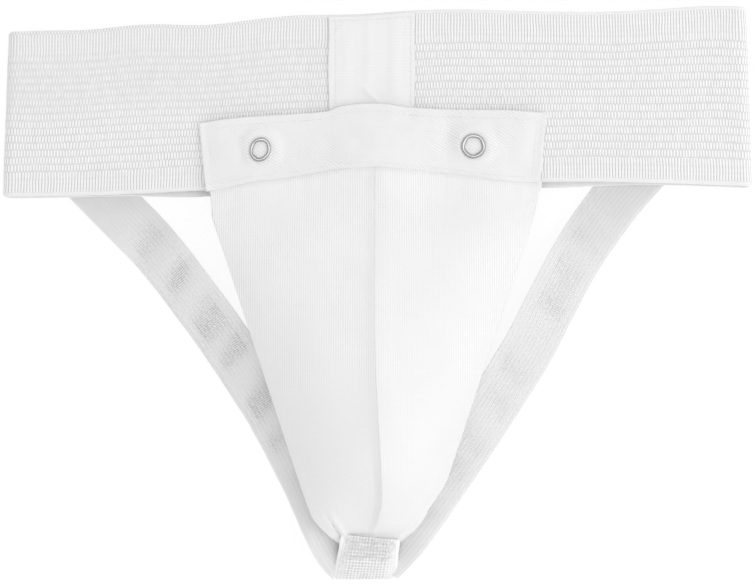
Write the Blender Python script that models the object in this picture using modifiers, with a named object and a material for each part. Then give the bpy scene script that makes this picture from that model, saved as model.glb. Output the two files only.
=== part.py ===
"""Groin protector lying on its back: elastic waistband, snapped cup pocket, hard cup and leg straps.

The front of the garment faces +Z, its waistband lies towards +Y, and the floor under it is Z = 0.
Every piece is a solid of its own. The pocket front swings open about a line at the bottom tab, and
the cup slides out of the pocket along the lining.
"""

import math

import bmesh
import bpy
from mathutils import Matrix, Vector

MM = 0.001

# Waistband: one closed loop of wide woven elastic, laid flat.
BAND_HALF_LENGTH = 164.5 * MM
BAND_THICKNESS = 1.6 * MM
BAND_BACK_Z = 2.6 * MM
BAND_FRONT_Z = 11.2 * MM
BAND_TOP_Y = 120.15 * MM
BAND_BOTTOM_Y = 46.4 * MM
BAND_TOP_TILT = 0.0323
BAND_BOTTOM_TILT = 0.0145
BAND_TOP_HUMP = 2.6 * MM
BAND_HUMP_HALF_WIDTH = 62 * MM
BAND_END_SLANT = 0.016
BAND_FOLD_SHARE = 0.1
BAND_GRID = (60, 4)

# Label sewn over the join of the band at the centre front.
LABEL_LEFT_X = -21.3 * MM
LABEL_RIGHT_X = 16.1 * MM
LABEL_BOTTOM_Y = 79.0 * MM
LABEL_TOP_MARGIN = 1.0 * MM
LABEL_THICKNESS = 0.5 * MM
LABEL_GRID = (6, 2)

# Pouch: a tapering pocket whose front is two panels joined along a raised centre seam.
POUCH_X = -2.0 * MM
POUCH_SHOULDER_Y = -95 * MM
POUCH_SHOULDER_HALF_WIDTH = 28.6 * MM
POUCH_TAPER = 0.329
POUCH_ROUND_DEPTH = 20 * MM
PANEL_BOTTOM_Y = -105 * MM
PANEL_THICKNESS = 1.0 * MM
PANEL_GRID = (9, 18)
PEAK_Y = -60 * MM
PEAK_Z = 50 * MM
SEAM_RIDGE_Z = 22.6 * MM
BOTTOM_RIDGE_Z = 15.2 * MM
RIDGE_FALL_POWER = 1.25
RIDGE_RISE_POWER = 0.9
RIDGE_SHARPNESS = 0.42
SIDE_ROUND_POWER = 3.5
SEAM_END_Y = 46.5 * MM
SEAM_ARCH = 8.0 * MM
SEAM_TILT = 0.026
SEAM_BLEND_START_Y = 20 * MM

# Lining: the pocket's flat back wall, sewn to the lower edge of the waistband's front.
LINING_THICKNESS = 0.8 * MM
LINING_BOTTOM_Z = 10.6 * MM
LINING_SLOPE = 0.035
LINING_STEP_Y = 34 * MM
LINING_LANDING_Y = 47 * MM
LINING_TOP_Y = 53 * MM
LINING_TAIL_Z = 6.0 * MM
LINING_TAIL_Y = -113.5 * MM
LINING_GRID = (6, 24)

# Flap: the twill band along the top of the pocket front.
FLAP_THICKNESS = 1.3 * MM
FLAP_Z = 17.05 * MM
FLAP_BULGE = 5.5 * MM
FLAP_BULGE_HALF_WIDTH = 36 * MM
FLAP_TOP_HALF_WIDTH = 75.4 * MM
FLAP_BOTTOM_HALF_WIDTH = 72.5 * MM
FLAP_TOP_Y = 77.2 * MM
FLAP_TOP_TILT = 0.03
FLAP_TOP_HUMP = 4.8 * MM
FLAP_HUMP_HALF_WIDTH = 34 * MM
FLAP_GRID = (28, 3)
SEWN_GAP = 0.35 * MM

# Cup: a hard shell with a soft edge, free to slide in the pocket.
CUP_BOTTOM_Y = -96 * MM
CUP_TOP_Y = 33 * MM
CUP_CENTRE_Y = -38 * MM
CUP_SHARE_OF_POUCH = 0.76
CUP_OUTLINE_POWER = 2.5
CUP_WALL = 2.4 * MM
CUP_CLEARANCE = 5.2 * MM
CUP_CROWN_POWER = 4.0
CUP_RIM_LIFT = 2.6 * MM
CUP_SKIRT = 4.0 * MM
CUP_SHELL_ROWS = 9
CUP_ROW_SPACING_POWER = 1.5
CUP_TURNS = 36
PAD_LIFT = 0.6 * MM
PAD_HEIGHT = 5.0 * MM
PAD_WALL = 1.9 * MM
PAD_SLOT_GAP = 0.35 * MM
PAD_SLOT_SLACK = 0.24 * MM
VENT_RADIUS = 2.6 * MM
VENT_ROWS_Y = (-70 * MM, -48 * MM, -26 * MM)
VENT_OFFSET_X = 12 * MM
VENT_SIDES = 12
VENT_CUTTER_Z = 37.5 * MM
VENT_CUTTER_DEPTH = 25 * MM

# Leg straps, from under the back of the waistband to the tab. Points run from the top end down.
STRAP_WIDTH = 25 * MM
STRAP_THICKNESS = 1.4 * MM
STRAP_LEFT_POINTS = (
    (-134, 56),
    (-120, 41),
    (-98, 18),
    (-77, -8),
    (-46, -56),
    (-24.5, -98),
    (-15.2, -118.5),
)
STRAP_RIGHT_POINTS = (
    (126, 60),
    (111.5, 46),
    (90.6, 19),
    (69.2, -21),
    (48.2, -56),
    (18.5, -97),
    (2.8, -116.5),
)
STRAP_TILT = math.radians(23)
STRAP_TILT_STARTS = (0.25, 0.42)
STRAP_TILT_ENDS = (0.72, 0.94)
STRAP_LIFT_SPAN = (0.74, 0.95)
STRAP_LEFT_END_Z = 2.8 * MM
STRAP_RIGHT_END_Z = 4.5 * MM
STRAP_GRID = (26, 2)

# Tab: a short folded strip of strap elastic that wraps the bottom of the pouch.
TAB_THICKNESS = 1.4 * MM
TAB_TOP_LEFT_X = -14.4 * MM
TAB_TOP_RIGHT_X = 10.4 * MM
TAB_FOLD_LEFT_X = -20.6 * MM
TAB_FOLD_RIGHT_X = 7.6 * MM
TAB_FOLD_SHARE = 0.62
TAB_GRID = (3, 22)
TAB_PROFILE = (
    (-106, 17.2),
    (-113, 14.4),
    (-119.5, 10.6),
    (-124.0, 6.6),
    (-124.5, 2.8),
    (-121, 1.2),
    (-117, 0.75),
    (-112, 0.7),
    (-107, 0.7),
)

# Snap fasteners: a cap ring and a socket on the flap, a stud and a back ring on the waistband.
SNAP_LEFT = (-51 * MM, 61.9 * MM)
SNAP_RIGHT = (41.7 * MM, 63.4 * MM)
RING_OUTER_RADIUS = 5.25 * MM
RING_INNER_RADIUS = 3.55 * MM
RING_HEIGHT = 0.9 * MM
RING_ARC_STEPS = 6
PRONG_COUNT = 5
PRONG_CIRCLE_RADIUS = 4.1 * MM
PRONG_RADIUS = 0.4 * MM
PRONG_HOLE_RADIUS = 0.75 * MM
PRONG_HOLE_REACH = 2 * MM
PRONG_SIDES = 8
PRONG_ROOT = 0.4 * MM
CAP_PRONG_LENGTH = 2.9 * MM
BACK_PRONG_LENGTH = 2.6 * MM
GROOVE_INNER_RADIUS = 3.35 * MM
GROOVE_OUTER_RADIUS = 4.85 * MM
SOCKET_RADIUS = 5.3 * MM
SOCKET_HOLE_RADIUS = 2.35 * MM
SOCKET_BOTTOM_Z = 13.95 * MM
SOCKET_HEIGHT = 2.05 * MM
SOCKET_GROOVE_DEPTH = 1.35 * MM
STUD_BASE_Z = 12.3 * MM
STUD_BASE_HEIGHT = 1.3 * MM
STUD_GROOVE_DEPTH = 0.85 * MM
STUD_POST_RADIUS = 1.6 * MM
STUD_HEAD_RADIUS = 1.95 * MM
STUD_HEAD_HEIGHT = 0.9 * MM
STUD_HEAD_CHAMFER = 0.4 * MM
STUD_HEAD_FLAT_SHARE = 0.7
STUD_TOP_Z = 15.4 * MM
TURN_STEPS = 20

# Joints.
HINGE_Y = -105.5 * MM
HINGE_Z = 14.0 * MM

WELD = 0.00001
PART_COLLECTION = "groin_protector"
CUTTER_COLLECTION = "cutters"

MATERIALS = {
    "band_elastic": ((0.90, 0.90, 0.90), 0.85, 0.0),
    "strap_elastic": ((0.83, 0.83, 0.83), 0.8, 0.0),
    "twill": ((0.92, 0.92, 0.92), 0.85, 0.0),
    "jersey": ((0.92, 0.92, 0.92), 0.9, 0.0),
    "satin": ((0.93, 0.93, 0.93), 0.45, 0.0),
    "cup_plastic": ((0.90, 0.91, 0.91), 0.35, 0.0),
    "cup_rubber": ((0.80, 0.81, 0.82), 0.7, 0.0),
    "snap_metal": ((0.72, 0.72, 0.73), 0.22, 1.0),
}


def smooth_step(low, high, value):
    """0 below low, 1 above high, and an S curve between them."""
    t = min(1.0, max(0.0, (value - low) / (high - low)))
    return t * t * (3 - 2 * t)


def hump(distance, half_width):
    """A raised cosine, 1 at the middle and 0 from half_width outwards."""
    t = min(1.0, abs(distance) / half_width)
    return 0.5 + 0.5 * math.cos(math.pi * t)


def path_point(points, t):
    """A point at share t of a smooth curve through the points (uniform Catmull-Rom)."""
    spans = len(points) - 1
    span = min(int(t * spans), spans - 1)
    s = t * spans - span
    a, b, c, d = (Vector(points[min(max(span + k, 0), spans)]) for k in (-1, 0, 1, 2))
    return 0.5 * (2 * b + (c - a) * s + (2 * a - 5 * b + 4 * c - d) * s**2 + (3 * b - a - 3 * c + d) * s**3)


def path_tangent(points, t, step=0.004):
    """The direction of that curve at share t."""
    ahead = path_point(points, min(1.0, t + step))
    behind = path_point(points, max(0.0, t - step))
    return (ahead - behind).normalized()


def material(name):
    """The named Principled material, made the first time it is asked for."""
    made = bpy.data.materials.get(name)
    if made is None:
        colour, roughness, metallic = MATERIALS[name]
        made = bpy.data.materials.new(name)
        made.use_nodes = True
        shader = made.node_tree.nodes["Principled BSDF"]
        shader.inputs["Base Color"].default_value = (*colour, 1.0)
        shader.inputs["Roughness"].default_value = roughness
        shader.inputs["Metallic"].default_value = metallic
    return made


def new_object(name, mesh, material_name, parent):
    """A part in the part collection, hung on its body's empty without moving."""
    mesh.materials.append(material(material_name))
    part = bpy.data.objects.new(name, mesh)
    bpy.data.collections[PART_COLLECTION].objects.link(part)
    part.parent = parent
    part.matrix_parent_inverse = Matrix.Translation(-parent.location)
    return part


def new_cutter(name, mesh):
    """A hidden shape that a Boolean reads."""
    cutter = bpy.data.objects.new(name, mesh)
    bpy.data.collections[CUTTER_COLLECTION].objects.link(cutter)
    cutter.hide_render = True
    cutter.display_type = "WIRE"
    return cutter


def add_boolean(part, operation, cutter):
    """Joins the cutter to the part or takes it out."""
    modifier = part.modifiers.new(operation.lower(), "BOOLEAN")
    modifier.operation = operation
    modifier.object = cutter


def bent_grid(name, columns, rows, place, closed=False):
    """A mesh of a grid bent to place(u, v), u and v from 0 to 1, welded where its edges meet."""
    shape = bmesh.new()
    bmesh.ops.create_grid(shape, x_segments=columns, y_segments=rows, size=0.5)
    for vert in shape.verts:
        vert.co = place(vert.co.x + 0.5, vert.co.y + 0.5)
    if closed:
        bmesh.ops.remove_doubles(shape, verts=shape.verts, dist=WELD)
        bmesh.ops.recalc_face_normals(shape, faces=shape.faces)
    mesh = bpy.data.meshes.new(name)
    shape.to_mesh(mesh)
    shape.free()
    mesh.shade_smooth()
    return mesh


def sheet(name, grid, thickness, material_name, parent):
    """A bent grid thickened evenly to both sides."""
    part = new_object(name, grid, material_name, parent)
    solidify = part.modifiers.new("thickness", "SOLIDIFY")
    solidify.thickness = thickness
    solidify.offset = 0
    solidify.use_even_offset = True
    return part


def profile_mesh(name, points, closed):
    """The points of a turned shape's profile in the XZ plane, joined by edges."""
    edges = [(i, i + 1) for i in range(len(points) - 1)]
    if closed:
        edges.append((len(points) - 1, 0))
    mesh = bpy.data.meshes.new(name)
    mesh.from_pydata([(x, 0, z) for x, z in points], edges, [])
    return mesh


def turned(name, points, closed, place, parent):
    """A metal piece turned about a vertical axis through place."""
    part = new_object(name, profile_mesh(name, points, closed), "snap_metal", parent)
    part.location = place
    screw = part.modifiers.new("turn", "SCREW")
    screw.steps = TURN_STEPS
    screw.render_steps = TURN_STEPS
    screw.use_merge_vertices = True
    screw.merge_threshold = WELD
    return part


def prong_ring(name, radius, low_z, high_z):
    """Upright pins on the prong circle, as one mesh."""
    shape = bmesh.new()
    for number in range(PRONG_COUNT):
        angle = math.tau * number / PRONG_COUNT
        middle = Matrix.Translation(
            (
                PRONG_CIRCLE_RADIUS * math.cos(angle),
                PRONG_CIRCLE_RADIUS * math.sin(angle),
                (low_z + high_z) / 2,
            )
        )
        bmesh.ops.create_cone(
            shape,
            cap_ends=True,
            segments=PRONG_SIDES,
            radius1=radius,
            radius2=radius,
            depth=high_z - low_z,
            matrix=middle,
        )
    mesh = bpy.data.meshes.new(name)
    shape.to_mesh(mesh)
    shape.free()
    return mesh


def band_y(x, share):
    """Height up the band at share 0, its lower edge, to 1, its upper edge."""
    low = BAND_BOTTOM_Y + BAND_BOTTOM_TILT * x
    high = BAND_TOP_Y + BAND_TOP_TILT * x + BAND_TOP_HUMP * hump(x, BAND_HUMP_HALF_WIDTH)
    return low + (high - low) * share


def band_loop(share):
    """A point (x, z) on the middle of the band's wall, once round the loop from the back's centre."""
    radius = (BAND_FRONT_Z - BAND_BACK_Z) / 2
    straight = BAND_HALF_LENGTH - BAND_THICKNESS / 2 - radius
    quarter = 0.25 - BAND_FOLD_SHARE / 2
    if share <= quarter:
        return straight * share / quarter, BAND_BACK_Z
    if share >= 1 - quarter:
        return straight * (share - 1) / quarter, BAND_BACK_Z
    if abs(share - 0.5) <= quarter:
        return straight * (0.5 - share) / quarter, BAND_FRONT_Z
    side = 1 if share < 0.5 else -1
    turn = (share - 0.5 + side * 0.25) / BAND_FOLD_SHARE * math.pi
    middle_z = (BAND_FRONT_Z + BAND_BACK_Z) / 2
    return side * (straight + radius * math.cos(turn)), middle_z + side * radius * math.sin(turn)


def pouch_half_width(y):
    """Half the pouch's width at y: straight tapering sides and a rounded bottom."""
    if y >= POUCH_SHOULDER_Y:
        return POUCH_SHOULDER_HALF_WIDTH + POUCH_TAPER * (y - POUCH_SHOULDER_Y)
    drop = min(1.0, (POUCH_SHOULDER_Y - y) / POUCH_ROUND_DEPTH)
    return POUCH_SHOULDER_HALF_WIDTH * math.sqrt(1 - drop * drop)


def seam_y(x):
    """The seam between the pouch panels and the flap: an arch, a little higher at the right."""
    t = (x - POUCH_X) / FLAP_BOTTOM_HALF_WIDTH
    return SEAM_END_Y + SEAM_TILT * x + SEAM_ARCH * (1 - min(1.0, t * t))


def flap_z(x):
    """The flap's middle surface: level at the snaps, bulging over the cup between them."""
    return FLAP_Z + FLAP_BULGE * hump(x - POUCH_X, FLAP_BULGE_HALF_WIDTH)


def lining_z(y):
    """The lining's middle surface: nearly level behind the cup, stepping down at both ends."""
    level = LINING_BOTTOM_Z + LINING_SLOPE * (y - PANEL_BOTTOM_Y)
    landing = BAND_FRONT_Z + BAND_THICKNESS / 2 + SEWN_GAP + LINING_THICKNESS / 2
    level += (landing - level) * smooth_step(LINING_STEP_Y, LINING_LANDING_Y, y)
    return level + (LINING_TAIL_Z - level) * smooth_step(PANEL_BOTTOM_Y, LINING_TAIL_Y, y)


def rim_z(y):
    """Where the panels' side edges lie on the lining."""
    gap = LINING_THICKNESS / 2 + SEWN_GAP + PANEL_THICKNESS / 2
    return LINING_BOTTOM_Z + LINING_SLOPE * (y - PANEL_BOTTOM_Y) + gap


def ridge_z(y):
    """The centre seam's height: rising gently from the flap to the peak, then falling to the tab."""
    if y >= PEAK_Y:
        t = (y - PEAK_Y) / (SEAM_END_Y + SEAM_ARCH - PEAK_Y)
        return PEAK_Z - (PEAK_Z - SEAM_RIDGE_Z) * t**RIDGE_FALL_POWER
    t = max(0.0, (y - PANEL_BOTTOM_Y) / (PEAK_Y - PANEL_BOTTOM_Y))
    return BOTTOM_RIDGE_Z + (PEAK_Z - BOTTOM_RIDGE_Z) * math.sin(math.pi / 2 * t) ** RIDGE_RISE_POWER


def front_z(x, y):
    """The pouch front's middle surface: a soft ridge at the centre seam and rounded sides."""
    side = min(1.0, abs(x - POUCH_X) / pouch_half_width(y))
    section = 1 - RIDGE_SHARPNESS * side - (1 - RIDGE_SHARPNESS) * side**SIDE_ROUND_POWER
    tent = rim_z(y) + (ridge_z(y) - rim_z(y)) * section
    return tent + (flap_z(x) - tent) * smooth_step(SEAM_BLEND_START_Y, seam_y(x), y)


def make_waistband(parent):
    """The closed elastic loop, with holes for the prongs of the two studs."""

    def place(u, v):
        x, z = band_loop(u)
        return Vector((x * (1 - BAND_END_SLANT * v), band_y(x, v), z))

    grid = bent_grid("waistband", *BAND_GRID, place, closed=True)
    band = sheet("waistband", grid, BAND_THICKNESS, "band_elastic", parent)
    for side, (x, y) in (("left", SNAP_LEFT), ("right", SNAP_RIGHT)):
        name = f"band_prong_holes_{side}"
        low, high = BAND_FRONT_Z - PRONG_HOLE_REACH, BAND_FRONT_Z + PRONG_HOLE_REACH
        holes = new_cutter(name, prong_ring(name, PRONG_HOLE_RADIUS, low, high))
        holes.location = (x, y, 0)
        add_boolean(band, "DIFFERENCE", holes)


def make_label(parent):
    """A bare woven label on the band's front, its lower end tucked under the flap."""
    z = BAND_FRONT_Z + BAND_THICKNESS / 2 + SEWN_GAP + LABEL_THICKNESS / 2

    def place(u, v):
        x = LABEL_LEFT_X + (LABEL_RIGHT_X - LABEL_LEFT_X) * u
        top = band_y(x, 1) - LABEL_TOP_MARGIN
        return Vector((x, LABEL_BOTTOM_Y + (top - LABEL_BOTTOM_Y) * v, z))

    grid = bent_grid("front_label", *LABEL_GRID, place)
    sheet("front_label", grid, LABEL_THICKNESS, "satin", parent)


def make_pouch_panel(side, parent):
    """One half of the pouch front, from the centre seam out to the side edge."""
    sign = -1 if side == "left" else 1
    seam_gap = SEWN_GAP / 2

    def place(u, v):
        top = seam_y(POUCH_X + sign * u * FLAP_BOTTOM_HALF_WIDTH) - SEWN_GAP - PANEL_THICKNESS / 2
        y = PANEL_BOTTOM_Y + (top - PANEL_BOTTOM_Y) * v
        x = POUCH_X + sign * (seam_gap + u * (pouch_half_width(y) - seam_gap))
        return Vector((x, y, front_z(x, y)))

    name = f"pouch_panel_{side}"
    sheet(name, bent_grid(name, *PANEL_GRID, place), PANEL_THICKNESS, "jersey", parent)


def make_flap(parent):
    """The twill band that closes the pocket over the waistband."""

    def place(u, v):
        t = 2 * u - 1
        half_width = FLAP_BOTTOM_HALF_WIDTH + (FLAP_TOP_HALF_WIDTH - FLAP_BOTTOM_HALF_WIDTH) * v
        x = POUCH_X + t * half_width
        low = seam_y(x) + SEWN_GAP
        high = FLAP_TOP_Y + FLAP_TOP_TILT * x + FLAP_TOP_HUMP * hump(x - POUCH_X, FLAP_HUMP_HALF_WIDTH)
        return Vector((x, low + (high - low) * v, flap_z(x)))

    grid = bent_grid("pocket_flap", *FLAP_GRID, place)
    flap = sheet("pocket_flap", grid, FLAP_THICKNESS, "twill", parent)
    for side, (x, y) in (("left", SNAP_LEFT), ("right", SNAP_RIGHT)):
        name = f"flap_prong_holes_{side}"
        low, high = FLAP_Z - PRONG_HOLE_REACH, FLAP_Z + PRONG_HOLE_REACH
        holes = new_cutter(name, prong_ring(name, PRONG_HOLE_RADIUS, low, high))
        holes.location = (x, y, 0)
        add_boolean(flap, "DIFFERENCE", holes)


def make_lining(parent):
    """The pocket's back wall, from its tail inside the tab to its lap on the waistband."""

    def place(u, v):
        y = LINING_TAIL_Y + (LINING_TOP_Y - LINING_TAIL_Y) * v
        half_width = min(pouch_half_width(y), pouch_half_width(SEAM_END_Y))
        return Vector((POUCH_X + (2 * u - 1) * half_width, y, lining_z(y)))

    grid = bent_grid("pocket_lining", *LINING_GRID, place)
    sheet("pocket_lining", grid, LINING_THICKNESS, "jersey", parent)


def cup_outline(angle, reach, inset=0.0):
    """A plan point of the cup at share reach of the way from its centre to its rim."""
    across, along = math.cos(angle), math.sin(angle)
    power = 2 / CUP_OUTLINE_POWER
    across = math.copysign(abs(across) ** power, across)
    along = math.copysign(abs(along) ** power, along)
    length = CUP_TOP_Y - CUP_CENTRE_Y if along > 0 else CUP_CENTRE_Y - CUP_BOTTOM_Y
    y = CUP_CENTRE_Y + reach * along * (length - inset)
    x = reach * across * (CUP_SHARE_OF_POUCH * pouch_half_width(y) - inset)
    return POUCH_X + x, y


def cup_base_z(y):
    """The plane that the cup's edge pad stands on, just clear of the lining."""
    return LINING_BOTTOM_Z + LINING_THICKNESS / 2 + PAD_LIFT + LINING_SLOPE * (y - PANEL_BOTTOM_Y)


def make_cup_shell(parent):
    """The hard dome, open at the back, with vent holes on both sides of its ridge."""
    skirt_share = 1 / CUP_SHELL_ROWS

    def place(u, v):
        inward = max(0.0, (v - skirt_share) / (1 - skirt_share))
        reach = 1 - inward**CUP_ROW_SPACING_POWER
        x, y = cup_outline(math.tau * u, reach)
        shoulder = cup_base_z(y) + CUP_RIM_LIFT + CUP_SKIRT * min(1.0, v / skirt_share)
        crown = front_z(x, y) - CUP_CLEARANCE
        rise = math.sqrt(max(0.0, 1 - reach**CUP_CROWN_POWER))
        return Vector((x, y, shoulder + max(0.0, crown - shoulder) * rise))

    grid = bent_grid("cup_shell", CUP_TURNS, CUP_SHELL_ROWS, place, closed=True)
    shell = sheet("cup_shell", grid, CUP_WALL, "cup_plastic", parent)
    vents = bmesh.new()
    for y in VENT_ROWS_Y:
        for offset in (-VENT_OFFSET_X, VENT_OFFSET_X):
            middle = Matrix.Translation((POUCH_X + offset, y, VENT_CUTTER_Z))
            bmesh.ops.create_cone(
                vents,
                cap_ends=True,
                segments=VENT_SIDES,
                radius1=VENT_RADIUS,
                radius2=VENT_RADIUS,
                depth=VENT_CUTTER_DEPTH,
                matrix=middle,
            )
    mesh = bpy.data.meshes.new("cup_vents")
    vents.to_mesh(mesh)
    vents.free()
    add_boolean(shell, "DIFFERENCE", new_cutter("cup_vents", mesh))


def make_cup_edge_pad(parent):
    """The soft channel that the shell's rim stands in, all the way round."""
    slot = CUP_WALL / 2 + PAD_SLOT_GAP
    floor = CUP_RIM_LIFT - PAD_SLOT_GAP - PAD_SLOT_SLACK
    outer = slot + PAD_WALL
    section = (
        (outer, 0.0),
        (outer, PAD_HEIGHT),
        (slot, PAD_HEIGHT),
        (slot, floor),
        (-slot, floor),
        (-slot, PAD_HEIGHT),
        (-outer, PAD_HEIGHT),
        (-outer, 0.0),
    )

    def place(u, v):
        outward, height = section[round(v * len(section)) % len(section)]
        x, y = cup_outline(math.tau * u, 1.0, inset=-outward)
        return Vector((x, y, cup_base_z(y) + height))

    grid = bent_grid("cup_edge_pad", CUP_TURNS, len(section), place, closed=True)
    new_object("cup_edge_pad", grid, "cup_rubber", parent)


def make_leg_strap(side, points, end_z, parent):
    """A strap lying on its outer edge's side, its inner edge lifted under the pouch."""
    inward = 1 if side == "left" else -1

    def place(u, v):
        t = 1 - u
        centre = path_point(points, t) * MM
        along = path_tangent(points, t)
        inner = Vector((-along.y, along.x)) * inward
        tilt = STRAP_TILT * smooth_step(*STRAP_TILT_STARTS, t) * (1 - smooth_step(*STRAP_TILT_ENDS, t))
        across = (v - 0.5) * STRAP_WIDTH
        base = STRAP_THICKNESS / 2
        base += (end_z - base) * smooth_step(*STRAP_LIFT_SPAN, t)
        lift = base + math.sin(tilt) * (across + STRAP_WIDTH / 2)
        spot = centre + inner * across * math.cos(tilt)
        return Vector((spot.x, spot.y, lift))

    name = f"leg_strap_{side}"
    sheet(name, bent_grid(name, *STRAP_GRID, place), STRAP_THICKNESS, "strap_elastic", parent)


def make_bottom_tab(parent):
    """The folded tab that joins the pouch's bottom and both strap ends."""

    def place(u, v):
        y, z = path_point(TAB_PROFILE, v) * MM
        spread = min(1.0, v / TAB_FOLD_SHARE)
        left = TAB_TOP_LEFT_X + (TAB_FOLD_LEFT_X - TAB_TOP_LEFT_X) * spread
        right = TAB_TOP_RIGHT_X + (TAB_FOLD_RIGHT_X - TAB_TOP_RIGHT_X) * spread
        return Vector((left + (right - left) * u, y, z))

    grid = bent_grid("bottom_tab", *TAB_GRID, place)
    sheet("bottom_tab", grid, TAB_THICKNESS, "strap_elastic", parent)


def half_round(side):
    """A snap ring's half-round section on Z = 0: above it for side 1, below it for side -1."""
    middle = (RING_OUTER_RADIUS + RING_INNER_RADIUS) / 2
    half = (RING_OUTER_RADIUS - RING_INNER_RADIUS) / 2
    turns = [math.pi * step / RING_ARC_STEPS for step in range(RING_ARC_STEPS + 1)]
    return [(middle - side * half * math.cos(a), side * RING_HEIGHT * math.sin(a)) for a in turns]


def make_snap_cap(side, spot, parent):
    """The ring on the flap's face, with prongs through the cloth into the socket."""
    place = (*spot, FLAP_Z + FLAP_THICKNESS / 2 + SEWN_GAP)
    cap = turned(f"snap_cap_{side}", half_round(1), True, place, parent)
    name = f"cap_prongs_{side}"
    prongs = new_cutter(name, prong_ring(name, PRONG_RADIUS, -CAP_PRONG_LENGTH, PRONG_ROOT))
    prongs.location = place
    add_boolean(cap, "UNION", prongs)


def make_snap_socket(side, spot, parent):
    """The socket under the flap: a hole for the stud inside a groove for the prongs."""
    low, high = SOCKET_BOTTOM_Z, SOCKET_BOTTOM_Z + SOCKET_HEIGHT
    groove = high - SOCKET_GROOVE_DEPTH
    section = (
        (SOCKET_RADIUS, high),
        (SOCKET_RADIUS, low),
        (SOCKET_HOLE_RADIUS, low),
        (SOCKET_HOLE_RADIUS, high),
        (GROOVE_INNER_RADIUS, high),
        (GROOVE_INNER_RADIUS, groove),
        (GROOVE_OUTER_RADIUS, groove),
        (GROOVE_OUTER_RADIUS, high),
    )
    turned(f"snap_socket_{side}", section, True, (*spot, 0), parent)


def make_snap_stud(side, spot, parent):
    """The stud on the band's face: a base with a groove below and a post with a rounded head."""
    low = STUD_BASE_Z
    top = low + STUD_BASE_HEIGHT
    groove = low + STUD_GROOVE_DEPTH
    neck = STUD_TOP_Z - STUD_HEAD_HEIGHT
    section = (
        (0.0, STUD_TOP_Z),
        (STUD_HEAD_RADIUS * STUD_HEAD_FLAT_SHARE, STUD_TOP_Z),
        (STUD_HEAD_RADIUS, STUD_TOP_Z - STUD_HEAD_CHAMFER),
        (STUD_POST_RADIUS, neck),
        (STUD_POST_RADIUS, top),
        (SOCKET_RADIUS, top),
        (SOCKET_RADIUS, low),
        (GROOVE_OUTER_RADIUS, low),
        (GROOVE_OUTER_RADIUS, groove),
        (GROOVE_INNER_RADIUS, groove),
        (GROOVE_INNER_RADIUS, low),
        (0.0, low),
    )
    turned(f"snap_stud_{side}", section, False, (*spot, 0), parent)


def make_snap_back_ring(side, spot, parent):
    """The ring inside the band, with prongs up through the elastic into the stud."""
    place = (*spot, BAND_FRONT_Z - BAND_THICKNESS / 2 - SEWN_GAP)
    ring = turned(f"snap_back_ring_{side}", half_round(-1), True, place, parent)
    name = f"back_prongs_{side}"
    prongs = new_cutter(name, prong_ring(name, PRONG_RADIUS, -PRONG_ROOT, BACK_PRONG_LENGTH))
    prongs.location = place
    add_boolean(ring, "UNION", prongs)


def new_body(name, location):
    """An empty that carries the pieces of one rigid body, placed on its joint."""
    body = bpy.data.objects.new(name, None)
    body.location = location
    bpy.data.collections[PART_COLLECTION].objects.link(body)
    return body


def main():
    """Clears the file and makes every piece on its body."""
    for old in list(bpy.data.objects):
        bpy.data.objects.remove(old)
    for name in (PART_COLLECTION, CUTTER_COLLECTION):
        collection = bpy.data.collections.new(name)
        bpy.context.scene.collection.children.link(collection)
    belt = new_body("belt_body", (0, 0, 0))
    pocket = new_body("pocket_front_body", (POUCH_X, HINGE_Y, HINGE_Z))
    cup = new_body("cup_body", (POUCH_X, CUP_BOTTOM_Y, cup_base_z(CUP_BOTTOM_Y)))
    make_waistband(belt)
    make_label(belt)
    make_lining(belt)
    make_leg_strap("left", STRAP_LEFT_POINTS, STRAP_LEFT_END_Z, belt)
    make_leg_strap("right", STRAP_RIGHT_POINTS, STRAP_RIGHT_END_Z, belt)
    make_bottom_tab(belt)
    make_flap(pocket)
    make_cup_shell(cup)
    make_cup_edge_pad(cup)
    for side, spot in (("left", SNAP_LEFT), ("right", SNAP_RIGHT)):
        make_pouch_panel(side, pocket)
        make_snap_cap(side, spot, pocket)
        make_snap_socket(side, spot, pocket)
        make_snap_stud(side, spot, belt)
        make_snap_back_ring(side, spot, belt)


main()
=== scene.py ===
"""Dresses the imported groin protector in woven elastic, twill, jersey, satin, nickel and moulded plastic.

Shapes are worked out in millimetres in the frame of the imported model: the garment lies on its back,
its front faces +Z and its waistband lies towards +Y. A mesh is written in metres.
"""

import logging
import math
from dataclasses import dataclass, replace
from enum import Enum, IntEnum

import bpy
import numpy as np
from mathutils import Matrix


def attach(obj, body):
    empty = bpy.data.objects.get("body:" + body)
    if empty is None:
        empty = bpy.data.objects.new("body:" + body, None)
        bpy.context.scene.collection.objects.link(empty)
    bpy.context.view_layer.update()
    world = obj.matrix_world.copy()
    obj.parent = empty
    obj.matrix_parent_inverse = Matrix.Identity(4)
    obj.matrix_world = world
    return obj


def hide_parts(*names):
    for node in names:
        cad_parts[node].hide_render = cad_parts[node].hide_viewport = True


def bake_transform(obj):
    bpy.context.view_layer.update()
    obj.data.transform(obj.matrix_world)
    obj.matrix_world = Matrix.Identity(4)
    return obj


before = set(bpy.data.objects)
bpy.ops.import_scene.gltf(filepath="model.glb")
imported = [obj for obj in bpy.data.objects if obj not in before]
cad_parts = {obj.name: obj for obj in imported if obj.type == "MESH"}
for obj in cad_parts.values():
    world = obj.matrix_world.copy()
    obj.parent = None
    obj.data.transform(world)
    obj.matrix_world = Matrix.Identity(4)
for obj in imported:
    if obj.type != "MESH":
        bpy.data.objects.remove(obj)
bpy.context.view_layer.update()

LOG = logging.getLogger("groin_protector")
MM = 0.001
UV_NAME = "cloth_mm"
RELIEF_NAME = "relief"
MEAN_WEAVE = 0.55
TINY = 1e-6
SHORTEST = 1e-12
CURVE_STEPS = 40
LATTICE = 64
RIM_BULGE = 0.4

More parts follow.
